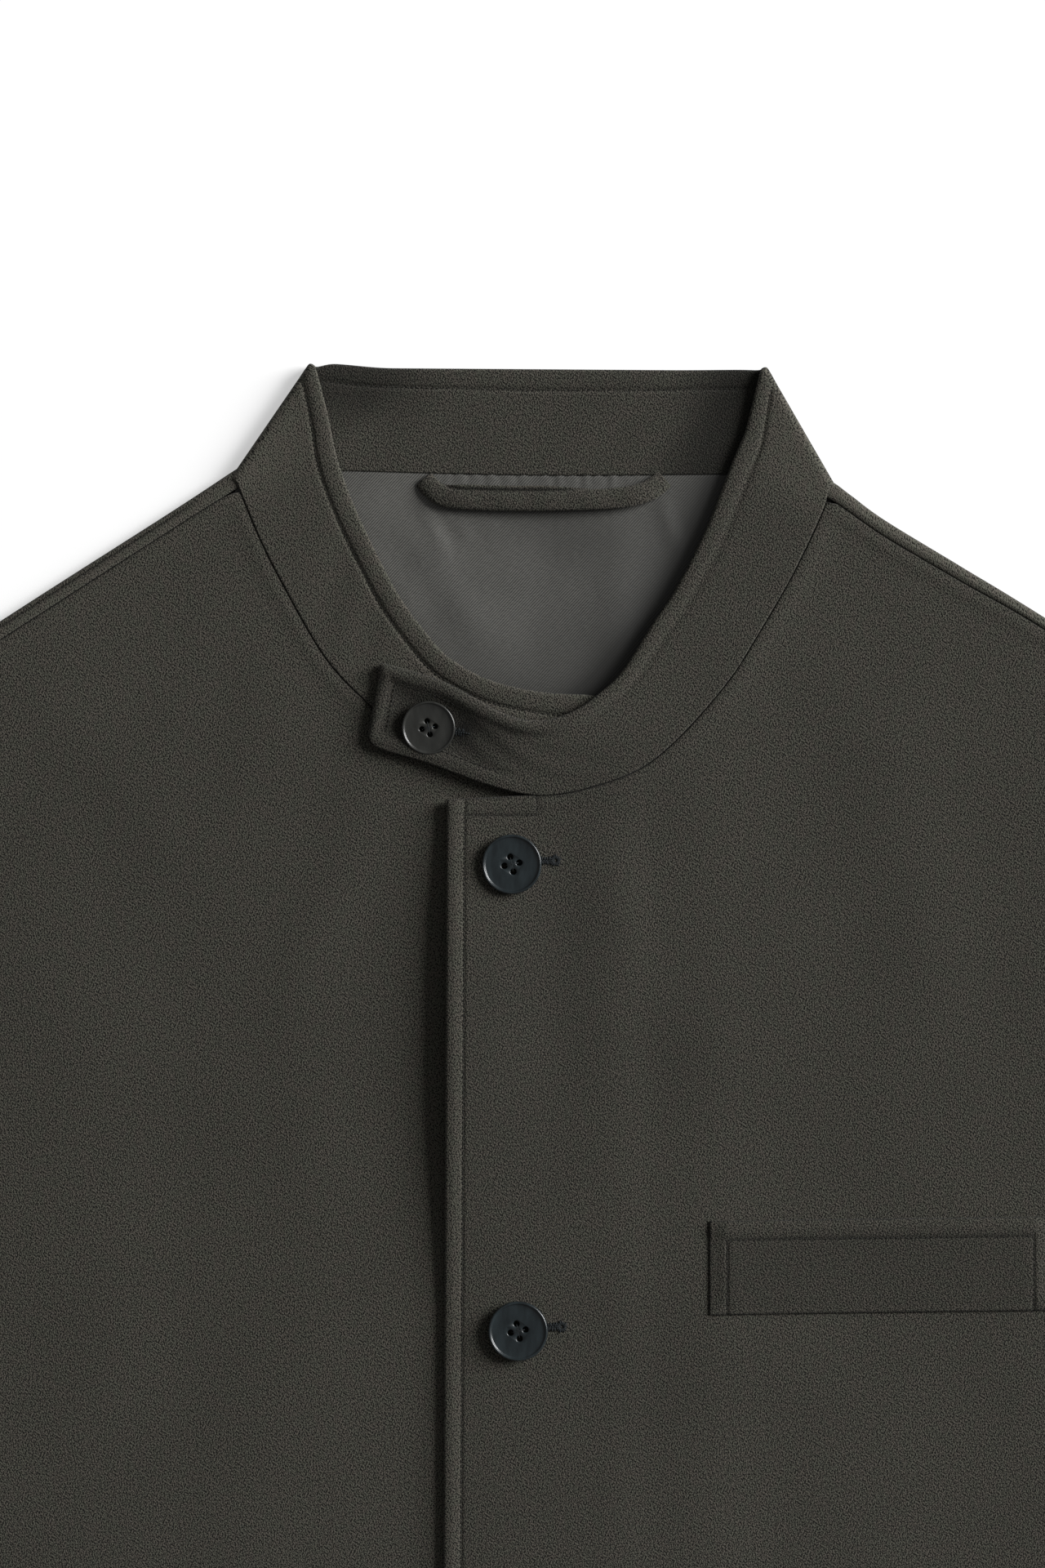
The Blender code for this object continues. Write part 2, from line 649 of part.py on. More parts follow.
def add_buttons(garment):
    """One button on the tab and four down the over front, each just clear of its cloth."""
    front_y = [FRONT_BUTTON_TOP_Y - FRONT_BUTTON_PITCH * index for index in range(len(FRONT_BUTTON_X))]
    for index, place in enumerate(zip(FRONT_BUTTON_X, front_y), start=1):
        name = f"front_button_{index}"
        button = add_piece(name, button_mesh(name, FRONT_BUTTON), garment, HORN, 0.35)
        button.location = (*place, over_front_high(place[0]) + LAYER_GAP)
    tab = OVER_COLLAR[-4:-2]
    seam_z = sum(row.seam_z for row in tab) / len(tab) * MM
    top_z = sum(row.top_z for row in tab) / len(tab) * MM
    seam_y = sum(row.seam_y for row in tab) / len(tab) * MM
    top_y = sum(row.top_y for row in tab) / len(tab) * MM
    tilt = math.atan2(top_z - seam_z, top_y - seam_y)
    share = (COLLAR_BUTTON_PLACE[1] - seam_y) / (top_y - seam_y)
    height = seam_z + (top_z - seam_z) * share + COLLAR_THICKNESS / 2 + 2 * LAYER_GAP
    mesh = button_mesh("collar_button", COLLAR_BUTTON)
    button = add_piece("collar_button", mesh, garment, HORN, 0.35)
    button.location = (*COLLAR_BUTTON_PLACE, height)
    button.rotation_euler = (tilt, 0, 0)


def main():
    """Builds every piece and hangs it on the empty that places the garment."""
    clear_scene()
    garment = bpy.data.objects.new("overshirt", None)
    garment.location = (0, (BODY_LENGTH - COLLAR_RISE) / 2, 0)
    bpy.context.collection.objects.link(garment)
    cloth_pieces = {
        "back": back_panel(),
        "front_under": under_front(),
        "front_over": over_front(),
        "sleeve_left": sleeve(-1),
        "sleeve_right": sleeve(1),
        "collar": collar(),
        "pocket_welt": pocket_welt(),
        "hanger_loop": hanger_loop(),
    }
    for name, shape in cloth_pieces.items():
        add_piece(name, make_mesh(name, *shape), garment, WOOL, 0.9)
    add_piece("back_lining", make_mesh("back_lining", *back_lining()), garment, SATIN, 0.5)
    add_buttons(garment)


main()
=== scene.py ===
"""Looks of the stand collar overshirt: cloth, lining, stitching and buttons, and the studio it lies in.

Plans are in the garment's own frame, as in the part's source: X across the body, Y up towards the collar
with 0 at the back neck seam, and Z up from the floor. Tables are in millimetres, other sizes in metres.
"""

import logging
import math
from dataclasses import dataclass
from enum import Enum
from typing import NamedTuple

import bpy
import numpy as np
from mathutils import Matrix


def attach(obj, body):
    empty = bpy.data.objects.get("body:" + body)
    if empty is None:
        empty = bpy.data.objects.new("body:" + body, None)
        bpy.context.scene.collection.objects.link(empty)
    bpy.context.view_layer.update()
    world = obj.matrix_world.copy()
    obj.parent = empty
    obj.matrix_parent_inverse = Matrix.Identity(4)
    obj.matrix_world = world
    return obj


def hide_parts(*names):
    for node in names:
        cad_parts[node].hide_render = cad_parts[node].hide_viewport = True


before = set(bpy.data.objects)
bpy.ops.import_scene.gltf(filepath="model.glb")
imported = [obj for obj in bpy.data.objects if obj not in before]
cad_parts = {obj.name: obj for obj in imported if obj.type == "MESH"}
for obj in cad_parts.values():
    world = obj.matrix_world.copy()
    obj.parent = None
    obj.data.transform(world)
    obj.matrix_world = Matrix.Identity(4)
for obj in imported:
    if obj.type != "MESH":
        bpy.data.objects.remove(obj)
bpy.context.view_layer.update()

LOG = logging.getLogger("overshirt")
Array = np.ndarray

MM = 0.001
PLAN_TO_FRAME = np.array([0.0, 0.34125, 0.0])
UP = np.array([0.0, 0.0, 1.0])
SEAM_GAP = 0.0003
CLOTH = 0.0014

# First step of a row of points at an edge
FINE = 0.0002

# Edges: share of a wall's thickness left at its rim, and how far in the rounding of each kind of edge reaches
RIM_SHARE = 0.3
HEM_ROUND = 0.0012
SIDE_ROUND = 0.0009
FRONT_ROUND = 0.0010
SEAM_ROUND = 0.0004

# Stitched hems: their depth, the groove's depth and width, and the stretch of close rows in millimetres
HEM_DEPTH = 0.020
HEM_GROOVE = 0.0004
HEM_LINE = 0.0007
HEM_ROWS = (18.8, 21.3)

# Shares of a fold's length over which it comes and goes
FADE_IN = (-0.15, 0.3)
FADE_OUT = (0.7, 1.15)

# Rows under a panel's top edge that measure the shortest way to it
TOP_ROWS = 34


class Hand(Enum):
    """A side of the garment as it is seen from above, with the sign of its X."""

    LEFT = -1
    RIGHT = 1


# Curves and soft functions


def ease(value: Array, start: float, end: float) -> Array:
    """Smoothstep from 0 at start to 1 at end: t * t * (3 - 2 * t)."""
    t = np.clip((value - start) / (end - start), 0.0, 1.0)
    return t * t * (3.0 - 2.0 * t)


def line_at(value: Array, place: float, width: float) -> Array:
    """A soft line of height 1 at a place: exp(-((value - place) / width) squared)."""
    return np.exp(-(((value - place) / width) ** 2))


def unit(vectors: Array) -> Array:
    """Vectors of length one in the same directions."""
    return vectors / np.linalg.norm(vectors, axis=-1, keepdims=True)


def rounded(distance: Array, radius: float) -> Array:
    """Share of a wall's thickness this far from its edge: a quarter circle that starts at a thin rim."""
    bare = 1.0 - np.clip(distance / radius, 0.0, 1.0)
    return RIM_SHARE + (1.0 - RIM_SHARE) * np.sqrt(1.0 - bare * bare)


def through(rows: tuple | Array, steps: int) -> Array:
    """A Catmull-Rom curve through the rows of a table, with cubic weights on four rows at a time.

    Args:
        rows: Table of points.
        steps: Points on each span.

    Returns:
        The curve's points, the last row included.
    """
    table = np.asarray(rows, float)
    padded = np.vstack([2 * table[0] - table[1], table, 2 * table[-1] - table[-2]])
    at = np.linspace(0, len(table) - 1, (len(table) - 1) * steps + 1)
    span = np.minimum(at.astype(int), len(table) - 2)
    t = (at - span)[:, None]
    before, start, end, after = (padded[span + shift] for shift in range(4))
    square = 2 * before - 5 * start + 4 * end - after
    cube = 3 * start - before - 3 * end + after
    return start + 0.5 * ((end - before) * t + square * t**2 + cube * t**3)


def length_along(line: Array) -> Array:
    """Distance along a line to each of its points."""
    steps = np.linalg.norm(np.diff(line, axis=0), axis=1)
    return np.concatenate([[0.0], np.cumsum(steps)])


def at_length(line: Array, where: Array) -> Array:
    """Points of a line at these distances along it."""
    reach = length_along(line)
    return np.stack([np.interp(where, reach, axis) for axis in line.T], axis=1)


def stations(length: float, fine: float, coarse: float, growth: float = 1.33) -> Array:
    """Distances from 0 to a length, close together at both ends, in steps that grow until they are coarse.

    Args:
        length: The whole distance.
        fine: First step at each end.
        coarse: Largest step.
        growth: How much each step exceeds the one before it.

    Returns:
        The distances in order.
    """
    most = int(length / coarse) + 60
    reach = np.concatenate([[0.0], np.cumsum(np.minimum(fine * growth ** np.arange(most), coarse))])
    reach = reach[: np.searchsorted(reach, length / 2) + 1]
    reach = reach * (length / 2) / reach[-1]
    return np.concatenate([reach, length - reach[-2::-1]])


def with_extra(places: Array, *more: Array) -> Array:
    """Places in order with more among them, each at least a twentieth of a millimetre from the last."""
    merged = np.sort(np.concatenate([places, *more]))
    return merged[np.concatenate([[True], np.diff(merged) > 0.05 * MM])]


def softened(points: Array, reach: int) -> Array:
    """A run of points averaged with a hat-shaped window, its two ends kept.

    Args:
        points: Points in order.
        reach: How many neighbours on each side count.

    Returns:
        As many points.
    """
    hat = reach + 1 - np.abs(np.arange(-reach, reach + 1))
    before = 2 * points[0] - points[reach:0:-1]
    after = 2 * points[-1] - points[-2 : -reach - 2 : -1]
    padded = np.concatenate([before, points, after])
    return np.stack([np.convolve(axis, hat / hat.sum(), "valid") for axis in padded.T], axis=1)


class Crease(NamedTuple):
    """A soft fold between two plan points, in millimetres: a ridge, or a trough if its height is negative."""

    x: float
    y: float
    to_x: float
    to_y: float
    width: float
    height: float


def creased(folds: tuple[Crease, ...], x: Array, y: Array) -> Array:
    """Heights of soft folds: each is height * exp(-(across / width) squared), fading out past its ends.

    Args:
        folds: The folds.
        x: Plan across.
        y: Plan up.

    Returns:
        The sum of the folds at each plan point.
    """
    table = np.array(folds, float) * MM
    span = table[:, 2:4] - table[:, 0:2]
    length = np.linalg.norm(span, axis=1)
    direction = span / length[:, None]
    from_x = x[..., None] - table[:, 0]
    from_y = y[..., None] - table[:, 1]
    along = (from_x * direction[:, 0] + from_y * direction[:, 1]) / length
    across = from_x * direction[:, 1] - from_y * direction[:, 0]
    fade = ease(along, *FADE_IN) * (1.0 - ease(along, *FADE_OUT))
    return (table[:, 5] * fade * np.exp(-((across / table[:, 4]) ** 2))).sum(axis=-1)


def between(share: Array, reach: float) -> Array:
    """One between two ends, easing to 0 at both over this share of the way."""
    return ease(share, 0.0, reach) * ease(share, 1.0, 1.0 - reach)


def hem_groove(distance: Array) -> Array:
    """Depth of the groove that a hem's stitching presses into the cloth, this far from the edge."""
    return HEM_GROOVE * line_at(distance, HEM_DEPTH, HEM_LINE)


def circle(count: int, turn: float = 0.0) -> Array:
    """Points evenly round a level circle of radius 1, the first at this angle."""
    angles = turn + np.arange(count) * 2 * math.pi / count
    return np.stack([np.cos(angles), np.sin(angles), np.zeros(count)], axis=1)


def at_height(plan: Array, height: Array | float) -> Array:
    """Plan points raised to a height."""
    return np.concatenate([plan, np.broadcast_to(height, plan.shape[:-1])[..., None]], axis=-1)


# Meshes


class Surface(NamedTuple):
    """Points, quads that point to them, UV of each quad's corners in metres, and the painted shading: painted
    shade where positive, painted light where negative.
    """

    points: Array
    quads: Array
    uv: Array
    painted_shading: Array | None = None


def facing_out(surface: Surface) -> Surface:
    """A closed surface with its quads turned outwards, told by the sign of the volume they hold.

    Args:
        surface: The surface, all facing in or all facing out.

    Returns:
        The same surface facing out.
    """
    a, b, c, d = (surface.points[surface.quads[:, corner]] for corner in range(4))
    volume = (np.cross(b - a, c - a) * a).sum() + (np.cross(c - a, d - a) * a).sum()
    if volume > 0:
        return surface
    return surface._replace(quads=surface.quads[:, ::-1], uv=surface.uv[:, ::-1])


def rim_edges(keep: Array, ring: bool) -> tuple[Array, Array]:
    """Edges of the kept cells of a grid, each from its start to its end as its own cell goes round.

    Args:
        keep: Which cells are kept.
        ring: Whether the last column of cells meets the first.

    Returns:
        Grid places (column, row) of the starts and of the ends.
    """
    framed = np.pad(keep, ((0, 0), (1, 1)))
    above = np.argwhere(framed[:, 1:] & ~framed[:, :-1])
    below = np.argwhere(framed[:, :-1] & ~framed[:, 1:])
    beside = np.pad(keep, ((1, 1), (0, 0)), mode="wrap" if ring else "constant")
    right = np.argwhere(beside[1:] & ~beside[:-1])
    left = np.argwhere(beside[:-1] & ~beside[1:])
    column, row = np.array([1, 0]), np.array([0, 1])
    starts = np.vstack([above, below + column, right + row, left])
    ends = np.vstack([above + column, below, right, left + row])
    return starts, ends


def wall(
    outer: Array,
    inner: Array,
    uv: Array,
    painted_shading: Array | None = None,
    keep: Array | None = None,
    ring: bool = False,
) -> Surface:
    """A closed wall between two grids of points, with a rim at every edge of what is kept.

    Args:
        outer: Grid of points on one face, as [column, row].
        inner: The same grid on the other face.
        uv: UV of the grid, with one more column on a ring.
        painted_shading: Painted shade over the grid, painted light where negative, or the same everywhere
            when None.
        keep: Which cells are kept, or all of them.
        ring: Whether the last column meets the first.

    Returns:
        The wall, facing out.
    """
    columns, rows = outer.shape[:2]
    count = columns * rows
    number = np.arange(count).reshape(columns, rows)
    if ring:
        number = np.vstack([number, number[:1]])
    if keep is None:
        keep = np.ones((len(number) - 1, rows - 1), bool)
    corners = [number[:-1, :-1], number[1:, :-1], number[1:, 1:], number[:-1, 1:]]
    quads = np.stack(corners, axis=-1)[keep]
    sides = np.stack([uv[:-1, :-1], uv[1:, :-1], uv[1:, 1:], uv[:-1, 1:]], axis=-2)[keep]
    start, end = (tuple(places.T) for places in rim_edges(keep, ring))
    rim = np.stack([number[end], number[start], number[start] + count, number[end] + count], axis=-1)
    rim_uv = np.stack([uv[end], uv[start], uv[start], uv[end]], axis=-2)
    quads = np.concatenate([quads, quads[:, ::-1] + count, rim])
    points = np.concatenate([outer.reshape(-1, 3), inner.reshape(-1, 3)])
    used, quads = np.unique(quads, return_inverse=True)
    sides = np.concatenate([sides, sides[:, ::-1], rim_uv])
    dark = None if painted_shading is None else np.tile(painted_shading.ravel(), 2)[used]
    return facing_out(Surface(points[used], quads.reshape(-1, 4), sides, dark))


def field_wall(
    plan: Array,
    low: Array,
    high: Array,
    shape: Array,
    painted_shading: Array,
    uv: Array | None = None,
) -> Surface:
    """A wall on a height field, whose faces draw together about its middle where its edges are round.

    Args:
        plan: Plan points as [column, row].
        low: Heights of the lower face.
        high: Heights of the upper face.
        shape: Share of the thickness at each point.
        painted_shading: Painted shade, painted light where negative.
        uv: UV of the grid, or the plan itself.

    Returns:
        The wall, facing out.
    """
    middle = (low + high) / 2
    half = (high - low) / 2 * shape
    faces = [at_height(plan, middle + part) for part in (half, -half)]
    return wall(*faces, plan if uv is None else uv, painted_shading)


def joined(surfaces: list[Surface]) -> Surface:
    """Several surfaces in one mesh, each still a closed shell of its own."""
    first = np.cumsum([0] + [len(part.points) for part in surfaces[:-1]])
    return Surface(
        np.concatenate([part.points for part in surfaces]),
        np.concatenate([part.quads + shift for part, shift in zip(surfaces, first)]),
        np.concatenate([part.uv for part in surfaces]),
    )


def strands(starts: Array, ends: Array, ups: Array, radius: float, bow: float = 0.0) -> Surface:
    """Short rounded strands of thread: six-sided tubes of four rings that narrow at both ends.

    Args:
        starts: First points.
        ends: Last points.
        ups: Directions away from the cloth.
        radius: Half of the thread's thickness.
        bow: How far the middle stands above the ends.

    Returns:
        All the strands as one surface.
    """
    ring_at = np.array([0.0, 0.22, 0.78, 1.0])
    ring_size = np.array([0.4, 1.0, 1.0, 0.4]) * radius
    angles = np.arange(6) * math.pi / 3
    forward = unit(ends - starts)
    beside = unit(np.cross(ups, forward))
    above = np.cross(forward, beside)
    middle = starts[:, None] + (ends - starts)[:, None] * ring_at[:, None]
    middle = middle + above[:, None] * (bow * np.sin(math.pi * ring_at))[:, None]
    swing = beside[:, None] * np.cos(angles)[:, None] + above[:, None] * np.sin(angles)[:, None]
    points = middle[:, :, None] + swing[:, None] * ring_size[:, None, None]
    one = np.arange(24).reshape(4, 6)
    beyond = np.roll(one, -1, axis=1)
    sides = np.stack([one[:-1], beyond[:-1], beyond[1:], one[1:]], axis=-1).reshape(-1, 4)
    caps = np.array([[3, 2, 1, 0], [5, 4, 3, 0], [18, 19, 20, 21], [18, 21, 22, 23]])
    base = np.concatenate([sides, caps])
    quads = (base + np.arange(len(starts))[:, None, None] * len(one.ravel())).reshape(-1, 4)
    flat = points.reshape(-1, 3)
    return facing_out(Surface(flat, quads, flat[quads][..., :2]))


def surface_area(surface: Surface) -> float:
    """Half of a closed surface's area, which is the cloth it is made from.

    Args:
        surface: A wall with both its faces.

    Returns:
        The area in square metres.
    """
    a, b, c, d = (surface.points[surface.quads[:, corner]] for corner in range(4))
    halves = [np.linalg.norm(np.cross(p - a, q - a), axis=1).sum() for p, q in ((b, c), (c, d))]
    return float(sum(halves) / 4)


def add_piece(
    name: str,
    surface: Surface,
    material: bpy.types.Material,
    node: str = "",
) -> bpy.types.Object:
    """Puts a surface into the scene as one piece that rides on the garment.

    Args:
        name: The piece's name.
        surface: Its shape in the garment's plan.
        material: Its finish.
        node: The CAD node that it stands for, if any.

    Returns:
        The new object, at the origin with its place in its mesh.
    """
    mesh = bpy.data.meshes.new(name)
    mesh.from_pydata((surface.points + PLAN_TO_FRAME).tolist(), [], surface.quads.tolist())
    layer = mesh.uv_layers.new(name="weave")
    layer.uv.foreach_set("vector", surface.uv.astype(np.float32).ravel())
    # The painted shading goes into a point attribute: painted shade where positive, painted light where
    # negative
    if surface.painted_shading is not None:
        painted_shading = mesh.attributes.new("painted_shading", "FLOAT", "POINT")
        painted_shading.data.foreach_set("value", surface.painted_shading.astype(np.float32))
    mesh.shade_smooth()
    mesh.materials.append(material)
    piece = bpy.data.objects.new(name, mesh)
    bpy.context.collection.objects.link(piece)
    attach(piece, "root")
    if node:
        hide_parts(node)
    LOG.info("%s: %d quads", name, len(surface.quads))
    return piece


class Sheet(NamedTuple):
    """A piece of cloth: its name, its node, the width and length of its cut, what it lies on and its slot."""

    name: str
    node: str
    cut: tuple[float, float]
    rests_on: tuple[str, ...] = ()
    slot: str = "wool_crepe"

    def add(self, surface: Surface, material: bpy.types.Material) -> None:
        """Args:
            surface: Its shape in the garment's plan.
            material: Its finish.
        """
        piece = add_piece(self.name, surface, material, self.node)
        area = surface_area(surface)
        LOG.info("%s: cut %.3f by %.3f m, %.4f square metres", self.name, *self.cut, area)


# Finishes


class Term:
    """A shader value: wraps an output socket, and arithmetic on it adds Math nodes."""

    def __init__(self, book: "NodeBook", socket: bpy.types.NodeSocket) -> None:
        """Keeps the socket and the material that it belongs to."""
        self.book = book
        self.socket = socket

    def __add__(self, other: "Term | float") -> "Term":
        """Sum of two values."""
        return self.book.maths("ADD", self, other)

    def __rsub__(self, other: float) -> "Term":
        """A number less this value."""
        return self.book.maths("SUBTRACT", other, self)

    def __mul__(self, other: "Term | float") -> "Term":
        """Product of two values."""
        return self.book.maths("MULTIPLY", self, other)

    __radd__ = __add__
    __rmul__ = __mul__


class NodeBook:
    """One material under construction, with its Principled shader."""

    def __init__(self, name: str) -> None:
        """Starts an empty material of this name."""
        self.material = bpy.data.materials.new(name)
        self.material.use_nodes = True
        self.tree = self.material.node_tree
        self.shader = self.tree.nodes["Principled BSDF"]

    def node(self, kind: str, settings: dict, sockets: dict) -> bpy.types.Node:
        """Adds a node.

        Args:
            kind: Type of the node.
            settings: Its properties, set first.
            sockets: Values or links of its inputs by name or number.

        Returns:
            The node.
        """
        made = self.tree.nodes.new(kind)
        for key, value in settings.items():
            setattr(made, key, value)
        for key, value in sockets.items():
            self.feed(made.inputs[key], value)
        return made

    def feed(self, socket: bpy.types.NodeSocket, value: "Term | float | tuple") -> None:
        """Links a term to a socket, or sets the socket's own value.

        Args:
            socket: An input of a node.
            value: What it gets.
        """
        if isinstance(value, Term):
            self.tree.links.new(value.socket, socket)
        else:
            socket.default_value = value

    def term(self, kind: str, settings: dict, sockets: dict, output: str | int = 0) -> Term:
        """Adds a node and gives one of its outputs."""
        return Term(self, self.node(kind, settings, sockets).outputs[output])

    def maths(self, operation: str, first: Term | float, second: Term | float = 0.0) -> Term:
        """A Math node on two values."""
        return self.term("ShaderNodeMath", {"operation": operation}, {0: first, 1: second})

    def within(self, value: Term, low: float, high: float) -> Term:
        """A value mapped so that low gives 0 and high gives 1, held between them."""
        sockets = {"Value": value, "From Min": low, "From Max": high}
        return self.term("ShaderNodeMapRange", {"clamp": True}, sockets)

    def mix(self, share: Term, first: Term | tuple, second: Term | tuple) -> Term:
        """A colour between two colours."""
        made = self.node("ShaderNodeMix", {"data_type": "RGBA"}, {0: share, 6: first, 7: second})
        return Term(self, made.outputs[2])

    def weave(self, turn: float = 0.0, stretch: tuple[float, float] = (1.0, 1.0)) -> Term:
        """The piece's own UV map in millimetres, turned and stretched.

        Args:
            turn: Angle in degrees.
            stretch: Factors across and along, after turning.

        Returns:
            The coordinates as a vector.
        """
        uv = self.term("ShaderNodeUVMap", {"uv_map": "weave"}, {})
        scale = (1000 * stretch[0], 1000 * stretch[1], 1000)
        sockets = {"Vector": uv, "Rotation": (0, 0, math.radians(turn)), "Scale": scale}
        return self.term("ShaderNodeMapping", {"vector_type": "POINT"}, sockets)

    def noise(self, vector: Term, period: float, detail: float = 2.0, roughness: float = 0.5) -> Term:
        """Plane noise between 0 and 1 with features of this period in millimetres."""
        sockets = {"Vector": vector, "Scale": 1 / period, "Detail": detail, "Roughness": roughness}
        return self.term("ShaderNodeTexNoise", {"noise_dimensions": "2D"}, sockets, "Fac")

    def bump(self, height: Term, depth: float) -> Term:
        """A normal bent by a height that runs from 0 to 1 over a depth in metres."""
        return self.term("ShaderNodeBump", {}, {"Height": height, "Distance": depth, "Strength": 1.0})

    def painted_shading(self) -> Term:
        """Painted shading of the piece: its own attribute, painted shade where positive and painted light
        where negative, or 0 on a piece that has none.
        """
        return self.term("ShaderNodeAttribute", {"attribute_name": "painted_shading"}, {}, "Fac")

    def finish(self, varying: dict, fixed: dict) -> bpy.types.Material:
        """Links what varies over the surface and sets what doesn't on the shader's own sockets.

        Args:
            varying: Terms by the name of the shader's input.
            fixed: Constants by the name of the shader's input.

        Returns:
            The finished material.
        """
        for name, value in {**varying, **fixed}.items():
            self.feed(self.shader.inputs[name], value)
        return self.material


@dataclass(frozen=True)
class WoolCrepe:
    """Felted wool crepe: dark pits and light yarn ends under a millimetre apart, with a faint hue change."""

    pit: tuple = (0.0036, 0.0035, 0.0027, 1)
    cool: tuple = (0.0655, 0.0650, 0.0510, 1)
    warm: tuple = (0.0705, 0.0640, 0.0525, 1)
    turn: float = 28.0
    stretch: tuple[float, float] = (1.0, 0.86)
    grain: float = 0.47
    grain_range: tuple[float, float] = (0.32, 0.68)
    hue_period: float = 4.4
    hue_range: tuple[float, float] = (0.35, 0.65)
    cloud_period: float = 46.0
    cloud_least: float = 0.84
    cloud_depth: float = 0.32
    dull: float = 0.98
    polish: float = 0.12
    depth: float = 0.00020

    def material(self) -> bpy.types.Material:
        """Builds the finish: fine noise drives colour, roughness and bump, and painted shading darkens some
        places and lightens others.

        Returns:
            The material.
        """
        book = NodeBook("wool_crepe")
        weave = book.weave(self.turn, self.stretch)
        share = book.within(book.noise(weave, self.grain, 1.0, 0.5), *self.grain_range)
        hue = book.within(book.noise(weave, self.hue_period, 1.0), *self.hue_range)
        clouds = self.cloud_least + book.noise(weave, self.cloud_period, 3.0) * self.cloud_depth
        # Painted shading: painted shade darkens the cloth's colour, painted light lightens it
        shade = share * clouds * (1.0 - book.painted_shading())
        varying = {
            "Base Color": book.mix(shade, self.pit, book.mix(hue, self.cool, self.warm)),
            "Roughness": self.dull - share * self.polish,
            "Normal": book.bump(share, self.depth),
        }
        fixed = {"Specular IOR Level": 0.12, "Sheen Weight": 0.05, "Sheen Roughness": 0.6}
        return book.finish(varying, fixed)


@dataclass(frozen=True)
class SatinLining:
    """Grey satin twill: fine slanting ribs with a soft gloss."""

    low: tuple = (0.018, 0.0178, 0.016, 1)
    high: tuple = (0.116, 0.114, 0.104, 1)
    rib: float = 0.74
    slant: float = 47.0
    depth: float = 0.00005
    waver_stretch: tuple[float, float] = (0.12, 1.0)
    waver_period: float = 1.6
    waver: float = 0.22
    thread_stretch: tuple[float, float] = (0.35, 2.2)
    thread_period: float = 0.8
    cloud_period: float = 30.0
    rib_share: float = 0.40
    thread_share: float = 0.6
    cloud_share: float = 0.4
    dull: float = 0.56
    polish: float = 0.12

    def material(self) -> bpy.types.Material:
        """Builds the finish: a sine across the ribs, broken by noise, drives colour, roughness and bump, and
        painted shade darkens some places.

        Returns:
            The material.
        """
        book = NodeBook("satin_lining")
        across = book.term("ShaderNodeSeparateXYZ", {}, {0: book.weave(-self.slant)}, "Y")
        waver = book.noise(book.weave(-self.slant, self.waver_stretch), self.waver_period, 1.0)
        wave = book.maths("SINE", (across * (1 / self.rib) + waver * self.waver) * (2 * math.pi))
        threads = book.noise(book.weave(-self.slant, self.thread_stretch), self.thread_period, 2.0)
        clouds = book.noise(book.weave(), self.cloud_period, 2.0)
        pale = wave * self.rib_share + threads * self.thread_share + clouds * self.cloud_share
        # Painted shade from the piece's attribute darkens the satin
        share = book.within(pale, 0.0, 1.0) * (1.0 - book.painted_shading())
        varying = {
            "Base Color": book.mix(share, self.low, self.high),
            "Roughness": self.dull - share * self.polish,
            "Normal": book.bump(wave * 0.5 + threads * 0.5, self.depth),
        }
        return book.finish(varying, {"Specular IOR Level": 0.4, "Sheen Weight": 0.05})


@dataclass(frozen=True)
class PolishedButton:
    """Dark button resin, clouded like horn, with a satin polish."""

    name: str = "button_resin"
    dark: tuple = (0.0056, 0.0086, 0.0100, 1)
    light: tuple = (0.0126, 0.0182, 0.0206, 1)
    streak_turn: float = 35.0
    streak_stretch: tuple[float, float] = (1.0, 0.3)
    streak_period: float = 2.6
    streak_range: tuple[float, float] = (0.3, 0.7)
    scuff_period: float = 0.35
    scuff_depth: float = 0.00001
    gloss: float = 0.22
    wear: float = 0.14

    def material(self) -> bpy.types.Material:
        """Builds the finish: streaked noise drives colour, and fine noise the roughness and bump.

        Returns:
            The material.
        """
        book = NodeBook(self.name)
        streaks = book.noise(book.weave(self.streak_turn, self.streak_stretch), self.streak_period, 3.0)
        scuffs = book.noise(book.weave(), self.scuff_period, 3.0, 0.6)
        varying = {
            "Base Color": book.mix(book.within(streaks, *self.streak_range), self.dark, self.light),
            "Roughness": self.gloss + scuffs * self.wear,
            "Normal": book.bump(scuffs, self.scuff_depth),
        }
        return book.finish(varying, {"Specular IOR Level": 0.5})


@dataclass(frozen=True)
class SewingThread:
    """Spun thread: a plain colour with darker grooves between its plies."""

    name: str
    colour: tuple
    groove: tuple
    ply_turn: float = 40.0
    ply_stretch: tuple[float, float] = (1.0, 3.0)
    ply_period: float = 0.5
    ply_range: tuple[float, float] = (0.3, 0.65)
    ply_depth: float = 0.00004
    gloss: float = 0.7
    wear: float = 0.2

    def material(self) -> bpy.types.Material:
        """Builds the finish: slanting noise stands for the plies.

        Returns:
            The material.
        """
        book = NodeBook(self.name)
        plies = book.noise(book.weave(self.ply_turn, self.ply_stretch), self.ply_period, 1.0)
        varying = {
            "Base Color": book.mix(book.within(plies, *self.ply_range), self.groove, self.colour),
            "Roughness": self.gloss + plies * self.wear,
            "Normal": book.bump(plies, self.ply_depth),
        }
        return book.finish(varying, {"Specular IOR Level": 0.3})


# The cut that several pieces share


class ShoulderRow(NamedTuple):
    """A point along a shoulder: where the back rolls over, and where it meets the front."""

    x: float
    roll_y: float
    seam_y: float


